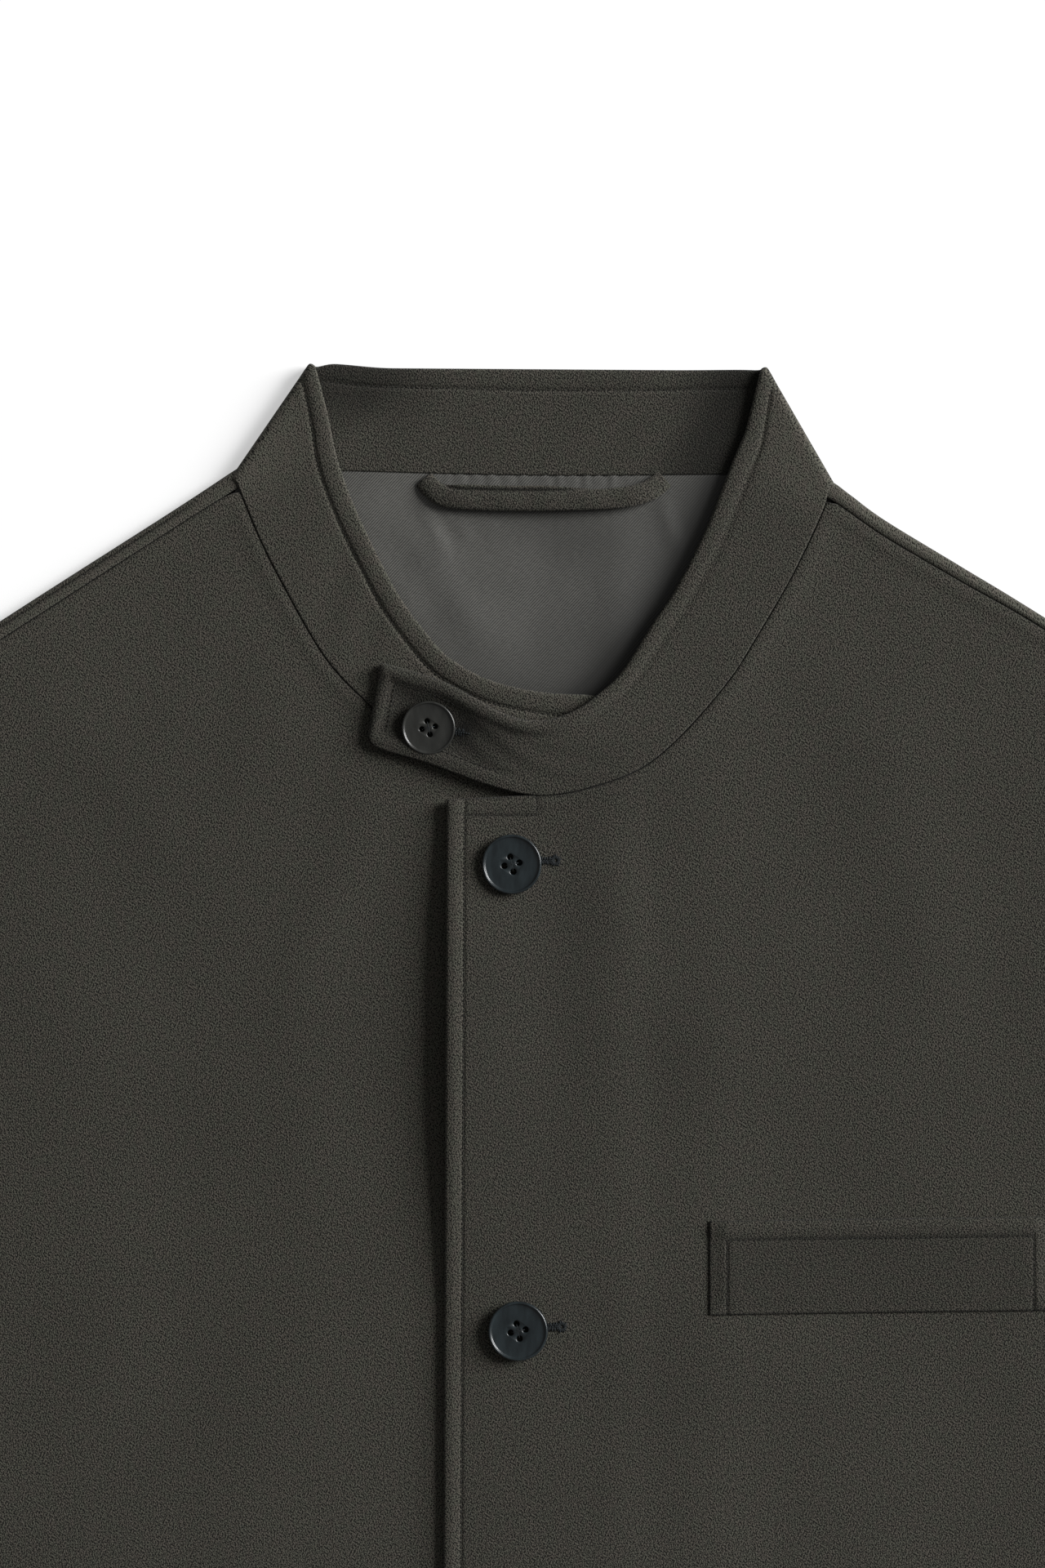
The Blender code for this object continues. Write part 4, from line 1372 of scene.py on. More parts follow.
@dataclass(frozen=True)
class OverFront:
    """The front that laps over, from the edge with the buttonholes to its side at the right."""

    corner: tuple[float, float] = (-0.0254, -0.1080)
    edge_hem_x: float = -0.0268
    edge_bow: float = -0.0006
    gape: tuple[GapeRow, ...] = (
        GapeRow(-720, 0.0),
        GapeRow(-312, 0.0),
        GapeRow(-292, 0.0),
        GapeRow(-275, 0.15),
        GapeRow(-259, 0.8),
        GapeRow(-242, 1.8),
        GapeRow(-226, 2.7),
        GapeRow(-205, 3.4),
        GapeRow(-180, 3.5),
        GapeRow(-150, 3.1),
        GapeRow(-130, 2.0),
        GapeRow(-115, 1.0),
        GapeRow(-104, 0.6),
    )
    # Painted shade on the slope of the gaping edge between buttons, painted light on the border inside the
    # stitching, and painted shade in the stitched grooves at the corner
    slope_painted_shade: float = 38.0
    border_painted_light: float = -0.26
    corner_painted_shade: float = 0.45
    slope_in: tuple[float, float] = (0.004, 0.014)
    slope_out: tuple[float, float] = (0.060, 0.036)
    bow_place: float = -0.36
    bow_width: float = 0.16
    gape_fade: tuple[float, float] = (0.002, 0.044)
    puff: float = 0.0003
    puff_place: float = 0.0028
    puff_width: float = 0.0018
    groove: float = 0.00030
    line: float = 0.0006
    stitch_inset: float = 0.0060
    stitch_top_y: float = -0.1132
    stitch_end_x: float = 0.0047
    folds: tuple[Crease, ...] = (
        Crease(62, -118, 65, -410, 12, 0.34),
        Crease(22, -116, 50, -188, 8, 0.34),
        Crease(106, -52, 142, -196, 18, 0.46),
        Crease(150, -104, 168, -246, 15, -0.34),
        Crease(30, -205, 22, -345, 11, -0.28),
        Crease(96, -300, 120, -420, 18, 0.40),
        Crease(232, -170, 204, -310, 18, 0.70),
        Crease(262, -345, 190, -470, 17, 0.95),
        Crease(60, -620, 150, -480, 24, 0.75),
        Crease(206, -700, 222, -560, 18, -0.60),
    )

    def edge_x(self, y: Array) -> Array:
        """X of the edge with the buttonholes: straight from corner to hem, with a slight bow in view.

        Args:
            y: Plan up.

        Returns:
            The edge's X at each.
        """
        down = (self.corner[1] - y) / (self.corner[1] - CUT.hem)
        straight = self.corner[0] + (self.edge_hem_x - self.corner[0]) * down
        return straight + self.edge_bow * line_at(y, self.bow_place, self.bow_width)

    def stitched(self, x: Array, y: Array) -> tuple[Array, Array]:
        """Where the stitching runs: down along the edge, and across the corner with a short end upwards.

        Args:
            x: Plan across.
            y: Plan up.

        Returns:
            How near each place is to the first and to the second, 1 on the line.
        """
        inset = x - self.edge_x(y)
        within = ease(inset, self.stitch_inset - MM, self.stitch_inset)
        within = within * ease(x, self.stitch_end_x + self.line, self.stitch_end_x)
        across = line_at(y, self.stitch_top_y, self.line) * within
        above = ease(y, self.stitch_top_y - self.line, self.stitch_top_y)
        short = line_at(x, self.stitch_end_x, self.line) * above
        return line_at(inset, self.stitch_inset, self.line), np.maximum(across, short)

    def relief(self, x: Array, y: Array) -> Array:
        """Heights added to the upper face: folds, the rounded edge, and grooves along its stitching."""
        puff = self.puff * line_at(x - self.edge_x(y), self.puff_place, self.puff_width)
        return creased(self.folds, x, y) + puff - self.groove * np.maximum(*self.stitched(x, y))

    def lift(self, y: Array) -> Array:
        """How far the edge gapes between two buttons."""
        gape = through(np.array(self.gape) * MM, 8)
        return np.maximum(np.interp(y, gape[:, 0], gape[:, 1]), 0.0)

    def low(self, x: Array, y: Array) -> Array:
        """Height of the lower face, which rises towards the gaping edge."""
        return LAY.over_low(x) + self.lift(y) * (1.0 - ease(x - self.edge_x(y), *self.gape_fade))

    def height(self, x: Array, y: Array) -> Array:
        """Height of the upper face away from its edges."""
        return self.low(x, y) + LAY.over_wall(x) + self.relief(x, y)

    def surface(self) -> Surface:
        """The whole front, its rows running from the buttonhole edge to the side.

        Returns:
            The front's surface.
        """
        seam = CUT.shoulder(Hand.RIGHT)[1]
        sewn = tuple(row for row in COLLAR.over if row.seam_x > 0)
        line = np.vstack([self.corner, front_top(COLLAR.neck_plan(sewn)[::-1], seam)])
        side = CUT.side(Hand.RIGHT, line[-1])
        climb = CUT.climb(side)
        right = at_length(side, climb * length_along(side)[-1])
        left_y = CUT.hem * (1 - climb) + self.corner[1] * climb
        left = np.stack([self.edge_x(left_y), left_y], axis=1)
        by_edge = [np.arange(1.2, 5.0, 0.6), np.arange(5.0, 7.4, 0.25), np.arange(7.6, 40, 1.6)]
        close = np.concatenate([*by_edge, np.arange(27.4, 30.4, 0.3)]) * MM
        columns = with_extra(front_columns(line, seam[0, 1]), close)
        plan = panel_plan(at_length(line, columns), columns / columns[-1], left, right, climb)
        x, y = plan[..., 0], plan[..., 1]
        inset = x - self.edge_x(y)
        # Painted shade on the gape's slope, painted light on the border, painted shade in the corner's
        # stitched grooves
        shade = self.slope_painted_shade * self.lift(y) * ease(inset, *self.slope_in) * ease(inset, *self.slope_out)
        shade = shade + self.border_painted_light * ease(inset, self.stitch_inset + 0.0005, self.stitch_inset - 0.0010)
        shade = shade + self.corner_painted_shade * self.stitched(x, y)[1]
        return front_surface(plan, self.low(x, y), LAY.over_wall(x), self.relief(x, y), shade)

    def build(self, wool: bpy.types.Material) -> None:
        """Makes the over front and logs its cut and area."""
        sheet = Sheet("front_over_cloth", "front_over", (0.320, 0.730), ("back", "front_under"))
        sheet.add(self.surface(), wool)


OVER = OverFront()


@dataclass(frozen=True)
class Back:
    """The back, flat on the floor, whose shoulders roll over to the front as a narrow forward yoke."""

    # Painted light on the strip that rolls over each shoulder, and painted shade along the pressed line in
    # its roll
    strip_painted_light: float = -0.80
    press_painted_shade: float = 0.75
    press_depth: float = 0.0004
    press_turn: float = 2.9
    press_width: float = 0.25
    press_span: tuple[float, float] = (-0.104, -0.116)
    turn_points: int = 15
    fold_fade: tuple[float, float] = (0.01, 0.05)
    strip_left: tuple = (0.88, 0.74, 0.6, 0.46, 0.33, 0.22, 0.13, 0.06, 0.02, 0.0)
    strip_ridge: float = 0.0003
    ridge_place: float = 0.0022
    ridge_width: float = 0.0016
    folds: tuple[Crease, ...] = (
        Crease(-180, -160, -60, -330, 22, 0.30),
        Crease(150, -140, 40, -300, 20, 0.28),
        Crease(-230, -380, -90, -470, 20, 0.34),
        Crease(240, -360, 110, -500, 22, 0.34),
        Crease(-60, -420, 20, -640, 26, 0.30),
        Crease(130, -560, 220, -690, 20, 0.32),
        Crease(-210, -560, -140, -700, 22, 0.30),
    )

    def surface(self) -> Surface:
        """Panel rows, then a half circle of rows round each shoulder, then rows along the strip to the front.

        Returns:
            The back's surface, without the rows past the roll at the neck.
        """
        left_roll, left_seam = CUT.shoulder(Hand.LEFT, tucked=True)
        right_roll, right_seam = CUT.shoulder(Hand.RIGHT, tucked=True)
        neck = COLLAR.back_seam()[:, :2] - [0, SEAM_GAP / 2]
        neck = neck[(neck[:, 0] > left_roll[0, 0] + MM) & (neck[:, 0] < right_roll[0, 0] - MM)]
        edge = np.vstack([left_roll[::-1], neck, right_roll])
        seam_y = np.concatenate([left_seam[::-1, 1], neck[:, 1], right_seam[:, 1]])
        x = edge[:, 0]
        shoulder = np.ones(len(edge), bool)
        shoulder[len(left_roll) : -len(right_roll)] = False
        low = CLOTH / 2
        front = LAY.front_middle(x)
        radius = (front - low) / 2
        slope = np.gradient(edge[:, 1], x)
        stretch = np.hypot(1, slope)
        outward = unit(np.stack([-slope, np.ones_like(slope), np.zeros_like(slope)], axis=1))
        top = edge.copy()
        top[shoulder, 1] -= ((radius + low) * stretch)[shoulder]
        left = CUT.side(Hand.LEFT, top[0])
        right = CUT.side(Hand.RIGHT, top[-1])
        climb = CUT.climb(left)
        rows = [at_length(side, climb * length_along(side)[-1]) for side in (left, right)]
        plan = panel_plan(top, (x - x[0]) / (x[-1] - x[0]), *rows, climb)
        edges = edge_distances(plan)
        shape = rounded(edges.left, SIDE_ROUND) * rounded(edges.right, SIDE_ROUND)
        shape = shape * rounded(edges.hem, HEM_ROUND)
        lift = creased(self.folds, plan[..., 0], plan[..., 1]) * ease(edges.top, *self.fold_fade)
        outer = [at_height(plan, low - low * shape + lift)]
        inner = [at_height(plan, low + low * shape)]
        uv = [plan]
        turns = np.linspace(0, math.pi, self.turn_points)[1:]
        swing = np.sin(turns)[:, None] * outward[:, None] - np.cos(turns)[:, None] * UP
        roll_plan = top[:, None] + (radius * stretch)[:, None, None] * np.sin(turns)[:, None] * [0, 1]
        roll = at_height(roll_plan, low + radius[:, None] * (1 - np.cos(turns)))
        pressed = line_at(turns, self.press_turn, self.press_width) * ease(x, *self.press_span)[:, None]
        outer.append(roll + (low - self.press_depth * pressed)[..., None] * swing)
        inner.append(roll - low * swing)
        square = outward[:, None, :2]
        uv.append(top[:, None] + (radius[:, None] * turns)[..., None] * square)
        strip_end = np.stack([x, seam_y + SEAM_GAP / 2 * stretch], axis=1)
        share = 1 - np.array(self.strip_left)
        strip = roll_plan[:, -1:] * (1 - share[:, None]) + strip_end[:, None] * share[:, None]
        width = np.linalg.norm(strip_end - roll_plan[:, -1], axis=1)[:, None]
        from_seam = (1 - share) * width
        thin = low * rounded(from_seam, FRONT_ROUND)
        ridge = self.strip_ridge * line_at(from_seam, self.ridge_place, self.ridge_width)
        outer.append(at_height(strip, front[:, None] + thin + ridge))
        inner.append(at_height(strip, front[:, None] - thin))
        uv.append(uv[1][:, -1:] + (share * width)[..., None] * square)
        grids = [np.concatenate(parts, axis=1) for parts in (outer, inner, uv)]
        keep = np.ones((len(edge) - 1, grids[0].shape[1] - 1), bool)
        keep[~(shoulder[1:] & shoulder[:-1]), plan.shape[1] - 1 :] = False
        # Painted light on the shoulder strips, painted shade along the pressed line in the roll
        painted_shading = np.full(grids[0].shape[:2], self.strip_painted_light)
        painted_shading[:, : plan.shape[1]] = 0.0
        painted_shading[:, plan.shape[1] : plan.shape[1] + len(turns)] += (self.press_painted_shade - self.strip_painted_light) * pressed
        return wall(*grids, painted_shading, keep)

    def build(self, wool: bpy.types.Material) -> None:
        """Makes the back and logs its cut and area."""
        Sheet("back_cloth", "back", (0.580, 0.740)).add(self.surface(), wool)


@dataclass(frozen=True)
class BackLining:
    """The satin lining of the upper back, which shows inside the neck, gathered a little under the seam."""

    depth: float = 0.190
    # Painted shade: darker towards the bottom and the right, along the collar's inner edge where its shadow
    # falls, and below the hanger loop
    low_painted_shade: float = 0.34
    right_painted_shade: float = 0.08
    edge_painted_shade: float = 1.0
    edge_inset: float = 0.005
    edge_reach: float = 0.009
    loop_painted_shade: float = 0.38
    reach: tuple = (-0.150, 0.155)
    shoulder_inset: float = 0.009
    low_span: tuple[float, float] = (-0.034, -0.072)
    right_span: tuple[float, float] = (0.0, 0.060)
    loop_x: tuple[float, float] = (0.018, 0.026)
    loop_y: tuple[float, float] = (-0.018, 0.012)
    gather: float = 0.00045
    gather_rates: tuple[float, float] = (1700.0, 310.0)
    gather_wander: float = 1.7
    gather_reach: float = 0.006
    gather_from: tuple[float, float] = (-0.030, -0.020)
    gather_to: tuple[float, float] = (0.044, 0.030)
    deepest: float = -0.0004
    edge_round: float = 0.0006
    folds: tuple[Crease, ...] = (
        Crease(-40, -12, -12, -58, 7, 0.55),
        Crease(-34, -7, -26, -26, 2.6, 0.50),
        Crease(-28, -9, -17, -20, 2.2, 0.42),
        Crease(-22, -11, -8, -17, 1.8, 0.30),
        Crease(10, -14, 2, -66, 9, -0.40),
        Crease(34, -12, 30, -62, 8, 0.45),
        Crease(58, -8, 40, -58, 7, -0.35),
        Crease(46, -6, 52, -24, 2.4, 0.35),
        Crease(-58, -20, -34, -48, 6, 0.40),
    )

    def top_y(self, x: Array) -> Array:
        """The lining's upper edge: the neck seam, and inside the shoulders' roll beyond it.

        Args:
            x: Plan across.

        Returns:
            The edge's Y at each.
        """
        neck = COLLAR.back_seam()
        top = np.interp(x, neck[:, 0], neck[:, 1]) - SEAM_GAP
        for hand in Hand:
            roll = CUT.shoulder(hand)[0]
            roll = roll[np.argsort(roll[:, 0])]
            beyond = x * hand.value > np.abs(roll[:, 0]).min()
            top = np.where(beyond, np.interp(x, roll[:, 0], roll[:, 1]) - self.shoulder_inset, top)
        return top

    def build(self, satin: bpy.types.Material) -> None:
        """Makes the lining: a wall over the back, with small gathers that die away below the seam.

        Args:
            satin: Its finish.
        """
        x = self.reach[0] + stations(self.reach[1] - self.reach[0], 0.0004, 0.0018)
        top = self.top_y(x)
        down = stations(1.0, 0.003, 0.012)
        y = top[:, None] - (self.depth + top[:, None]) * down[::-1]
        plan = np.stack([np.broadcast_to(x[:, None], y.shape), y], axis=-1)
        by_loop = ease(x, *self.gather_from) * ease(x, *self.gather_to)
        fast, slow = self.gather_rates
        waves = np.sin(x * fast + self.gather_wander * np.sin(x * slow)) * by_loop
        gathers = waves[:, None] * np.exp(-(top[:, None] - y) / self.gather_reach)
        relief = creased(self.folds, plan[..., 0], plan[..., 1]) + self.gather * gathers
        low = CLOTH + LAY.layer_gap + np.maximum(relief, self.deepest)
        shape = rounded(np.minimum.reduce(edge_distances(plan)), self.edge_round)
        # Painted shade low down, to the right, along the collar's inner edge where its shadow falls, and
        # below the hanger loop
        from_edge = COLLAR.inner_edge_x(y) - x[:, None] - self.edge_inset
        painted_shading = self.low_painted_shade * ease(y, *self.low_span) + self.right_painted_shade * ease(x, *self.right_span)[:, None]
        painted_shading = painted_shading + self.edge_painted_shade * np.exp(-np.maximum(from_edge, 0.0) / self.edge_reach)
        painted_shading = painted_shading + self.loop_painted_shade * line_at(x, *self.loop_x)[:, None] * line_at(y, *self.loop_y)
        surface = field_wall(plan, low, low + LAY.lining, shape, painted_shading)
        sheet = Sheet("back_lining_satin", "back_lining", (0.305, 0.192), ("back",), "satin_lining")
        sheet.add(surface, satin)


# Sleeves, welt and hanger loop


class SleeveRow(NamedTuple):
    """A place along the sleeve: its fold at the outside and its seam at the inside."""

    outer_x: float
    outer_y: float
    inner_x: float
    inner_y: float


@dataclass(frozen=True)
class Sleeve:
    """A sleeve laid flat beside the body: one flattened tube from the armhole to the open cuff."""

    hand: Hand
    folds: tuple[Crease, ...]
    rows: tuple[SleeveRow, ...] = (
        SleeveRow(245.7, -92.5, 287.7, -322.6),
        SleeveRow(292.0, -120.0, 303.0, -368.0),
        SleeveRow(350.0, -170.0, 319.0, -421.0),
        SleeveRow(402.0, -242.0, 333.0, -474.0),
        SleeveRow(441.0, -348.0, 348.0, -532.0),
        SleeveRow(473.0, -498.0, 365.0, -601.0),
        SleeveRow(500.0, -648.0, 379.0, -665.0),
    )
    rise: float = 0.0019
    puff: float = 0.0010
    turn_points: int = 9
    ring_length: float = 0.6
    ring_step: float = 0.0065

    def plan(self, across: Array) -> Array:
        """Plan of one layer as [across, along]: lines from fold to seam, bent to the armhole at the top.

        Args:
            across: Shares of the way from the fold to the seam.

        Returns:
            Plan points, inside the round edges.
        """
        sign = self.hand.value
        table = through(np.array(self.rows) * MM, 10) * [sign, 1, sign, 1]
        length = self.ring_length
        close = length - np.arange(*HEM_ROWS, 0.5) * MM
        rings = with_extra(stations(length, 0.0003, self.ring_step), close) / length
        index = np.arange(len(table))
        reach = np.stack([np.interp(rings * index[-1], index, axis) for axis in table.T], axis=1)
        outer, inner = reach[:, :2], reach[:, 2:]
        tip = np.array(CUT.armhole[-1]) * MM * [sign, 1]
        armhole = CUT.armhole_line(self.hand, tip)[::-1] + [SEAM_GAP / 2 * sign, 0]
        armhole[0], armhole[-1] = outer[0], inner[0]
        curve = at_length(armhole, across * length_along(armhole)[-1])
        chord = outer[0] * (1 - across[:, None]) + inner[0] * across[:, None]
        inset = unit(inner - outer) * (self.rise + CLOTH) / 2
        straight = (outer + inset) * (1 - across[:, None, None]) + (inner - inset) * across[:, None, None]
        return straight + ((1 - rings) ** 2)[:, None] * (curve - chord)[:, None]

    def surface(self) -> Surface:
        """The tube: an upper layer, a half circle at the seam, a lower layer and a half circle at the fold.

        Returns:
            The sleeve's surface.
        """
        across = stations(1.0, 0.003, 0.022)
        plan = self.plan(across)
        half = CLOTH / 2
        radius = self.rise / 2
        turns = np.linspace(0, math.pi, self.turn_points)[1:-1]
        outward = at_height(unit(plan[-1] - plan[0]), 0.0)
        folds = creased(self.folds, plan[..., 0], plan[..., 1])
        soft = np.sqrt(np.sin(math.pi * np.clip(across, 0, 1)))[:, None]
        upper = half + self.rise + self.puff * np.sin(math.pi * across)[:, None] + folds * soft
        seam = np.sin(turns)[:, None, None] * outward + np.cos(turns)[:, None, None] * UP
        fold = -np.sin(turns)[:, None, None] * outward - np.cos(turns)[:, None, None] * UP
        level = np.broadcast_to(UP, plan.shape[:2] + (3,))
        middle = np.concatenate([
            at_height(plan, upper),
            at_height(plan[-1:], half + radius) + radius * seam,
            at_height(plan[::-1], half),
            at_height(plan[:1], half + radius) + radius * fold,
        ])
        facing = np.concatenate([level, seam, -level, fold])
        along = np.linalg.norm(np.diff(middle, axis=1), axis=-1)
        from_top = np.concatenate([np.zeros((len(middle), 1)), np.cumsum(along, axis=1)], axis=1)
        from_cuff = from_top[:, -1:] - from_top
        wall_half = half * rounded(from_top, SIDE_ROUND) * rounded(from_cuff, HEM_ROUND)
        stitched = hem_groove(from_cuff)
        closed = np.concatenate([middle, middle[:1]])
        round_it = np.linalg.norm(np.diff(closed, axis=0), axis=-1)
        u = np.concatenate([np.zeros((1, middle.shape[1])), np.cumsum(round_it, axis=0)])
        uv = np.stack([u, np.concatenate([from_top, from_top[:1]])], axis=-1)
        outer = middle + facing * (wall_half - stitched)[..., None]
        inner = middle - facing * wall_half[..., None]
        return wall(outer, inner, uv, ring=True)

    def build(self, wool: bpy.types.Material) -> None:
        """Makes the sleeve and logs the cut and area of its cloth, which is cut to go all round."""
        name = f"sleeve_{self.hand.name.lower()}"
        Sheet(f"{name}_cloth", name, (0.490, 0.660)).add(self.surface(), wool)


@dataclass(frozen=True)
class PocketWelt:
    """The chest pocket's welt, made from the over front's points moved out, with its mouth at the top."""

    left_top: tuple[float, float] = (0.0627, -0.2493)
    size: tuple[float, float] = (0.115, 0.0316)
    tilt: float = math.radians(0.7)
    top_stitch: float = 0.0065
    side_stitch: float = 0.0060
    stitch_start: float = 0.0004
    groove: float = 0.00030
    line: float = 0.0006
    mouth_line: float = 0.0003
    pressed: float = 0.0005
    sewn_reach: float = 0.0065
    slack: float = 0.0005
    slack_depth: float = 0.012
    swell: float = 0.00040
    swell_place: float = 0.0034
    swell_width: float = 0.0022
    gap: float = 0.0001
    # Painted shade: over the welt inside its edges, in its stitched grooves, and in dark lines along its sewn
    # edges and at its mouth
    painted_shading: float = 0.16
    painted_shade_reach: tuple[float, float] = (0.001, 0.009)
    line_painted_shade: float = 0.35
    edge_painted_shade: float = 0.75

    def place(self, across: Array, down: Array) -> tuple[Array, Array]:
        """Plan X and Y of a point on the welt, from its top left corner."""
        x = self.left_top[0] + across
        return x, self.left_top[1] - down + across * math.tan(self.tilt)

    def from_ends(self, across: Array) -> Array:
        """How far a place is from the nearer end."""
        return np.minimum(across, self.size[0] - across)

    def from_seam(self, across: Array, down: Array) -> Array:
        """How far a place is from the nearest sewn edge: either end or the foot."""
        return np.minimum(self.from_ends(across), self.size[1] - down)

    def stitched(self, across: Array, down: Array) -> Array:
        """How near a place is to the stitching, 1 on its line: one line below the mouth and one at each end.

        Args:
            across: Distance from the left end.
            down: Distance from the mouth.

        Returns:
            Values from 0 to 1.
        """
        from_end = self.from_ends(across)
        inside = ease(from_end, self.side_stitch - 2 * self.line, self.side_stitch)
        below = ease(down, self.top_stitch - self.stitch_start, self.top_stitch)
        top = line_at(down, self.top_stitch, self.line) * inside
        return np.maximum(top, line_at(from_end, self.side_stitch, self.line) * below)

    def height(self, across: Array, down: Array) -> Array:
        """Height of the welt's face: the front's height moved out, a slack mouth, grooves at its stitching.

        Args:
            across: Distance from the left end.
            down: Distance from the mouth.

        Returns:
            The heights.
        """
        slack = self.slack * np.sin(math.pi * across / self.size[0]) * ease(down, self.slack_depth, 0.0)
        swell = self.swell * line_at(down, self.swell_place, self.swell_width)
        loft = ease(self.from_seam(across, down), 0.0, self.sewn_reach)
        body = self.pressed + (CLOTH - self.pressed) * loft
        face = OVER.height(*self.place(across, down)) + self.gap + body + slack + swell
        return face - self.groove * self.stitched(across, down)

    def build(self, wool: bpy.types.Material) -> None:
        """Makes the welt and logs its cut and area.

        Args:
            wool: Its finish.
        """
        near_side = np.arange(4.8, 7.4, 0.3) * MM
        across = with_extra(stations(self.size[0], FINE, 0.0032), near_side, self.size[0] - near_side)
        down = with_extra(stations(self.size[1], FINE, 0.0024), np.arange(5.2, 7.9, 0.3) * MM)
        across, down = np.meshgrid(across, down[::-1], indexing="ij")
        plan = np.stack(self.place(across, down), axis=-1)
        sewn = self.from_seam(across, down)
        edge = np.minimum(sewn, down)
        # Painted shade inside the edges, in the stitched grooves, along the sewn edges and at the mouth
        painted_shading = self.painted_shading * ease(edge, *self.painted_shade_reach) + self.line_painted_shade * self.stitched(across, down)
        painted_shading = painted_shading + self.edge_painted_shade * (line_at(sewn, 0.0, self.line) + line_at(down, 0.0, self.mouth_line))
        low = OVER.height(plan[..., 0], plan[..., 1]) + self.gap
        high = self.height(across, down)
        surface = field_wall(plan, low, high, rounded(edge, SIDE_ROUND), painted_shading, plan[..., ::-1])
        Sheet("pocket_welt_cloth", "pocket_welt", (0.116, 0.034), ("front_over",)).add(surface, wool)


class LoopRow(NamedTuple):
    """A point on the middle of the hanger loop."""

    x: float
    y: float
    z: float


@dataclass(frozen=True)
class HangerLoop:
    """The hanger loop: a folded strip along the back neck seam, with a thinner ridge above its main roll."""

    rows: tuple[LoopRow, ...] = (
        LoopRow(-33.0, -0.6, 2.4),
        LoopRow(-30.5, -3.4, 3.6),
        LoopRow(-25.5, -6.4, 4.6),
        LoopRow(-14.0, -7.4, 5.1),
        LoopRow(8.0, -7.6, 5.3),
        LoopRow(30.0, -6.9, 5.1),
        LoopRow(40.0, -5.2, 4.5),
        LoopRow(45.0, -2.6, 3.4),
        LoopRow(47.5, -0.4, 2.4),
    )
    half_width: float = 0.0035
    ridge_width: float = 0.0016
    thickness: float = 0.0030
    rim: float = 0.12
    inner_share: float = 0.6
    ridge_share: float = 0.8
    ridge_in: tuple[float, float] = (0.04, 0.2)
    ridge_out: tuple[float, float] = (0.72, 0.50)
    ridge_fade: tuple[float, float] = (0.0004, 0.0016)
    # Painted shade in the groove between the main roll and the ridge
    groove_painted_shade: float = 0.75
    groove_width: float = 0.0005
    groove_fade: tuple[float, float] = (0.0002, 0.001)

    def build(self, wool: bpy.types.Material) -> None:
        """Makes the loop: two half ellipses side by side, carried along the path, and logs its cut and area.

        Args:
            wool: Its finish.
        """
        path = through(np.array(self.rows) * MM, 14)
        forward = unit(np.gradient(path, axis=0))
        beside = unit(np.cross(UP, forward))
        above = np.cross(forward, beside)
        reach = length_along(path)[:, None]
        run = reach / reach[-1]
        extra = self.ridge_width * ease(run, *self.ridge_in) * ease(run, *self.ridge_out)
        share = stations(1.0, 0.012, 0.05)
        offset = -self.half_width + (2 * self.half_width + extra) * share
        roll = np.sqrt(np.clip(1 - (offset / self.half_width) ** 2, 0, 1))
        ridge_half = np.maximum(extra / 2, 0.0001)
        from_ridge = (offset - self.half_width - ridge_half) / ridge_half
        ridge = self.ridge_share * np.sqrt(np.clip(1 - from_ridge**2, 0, 1)) * ease(extra, *self.ridge_fade)
        uneven = 1.0 + 0.10 * np.sin(run * 37 + 1.3) * np.sin(math.pi * share)
        full = np.maximum(roll, ridge) ** 0.8 * uneven
        half = self.thickness / 2 * (self.rim + (1.0 - self.rim) * full)
        middle = path[:, None] + beside[:, None] * offset[..., None]
        outer = middle + above[:, None] * half[..., None]
        inner = middle - above[:, None] * (half * self.inner_share)[..., None]
        uv = np.stack([np.broadcast_to(reach, offset.shape), offset], axis=-1)
        # Painted shade in the groove between the roll and the ridge
        grooved = line_at(offset, self.half_width, self.groove_width) * ease(extra, *self.groove_fade)
        surface = wall(outer, inner, uv, self.groove_painted_shade * grooved)
        Sheet("hanger_loop_strip", "hanger_loop", (0.094, 0.012), ("back_lining",)).add(surface, wool)


# Buttons and stitching


class ButtonPlace(NamedTuple):
    """Where a button sits: its node, its plan, its diameter and how far it leans towards the collar."""

    node: str
    x: float
    y: float
    diameter: float
    lean: float


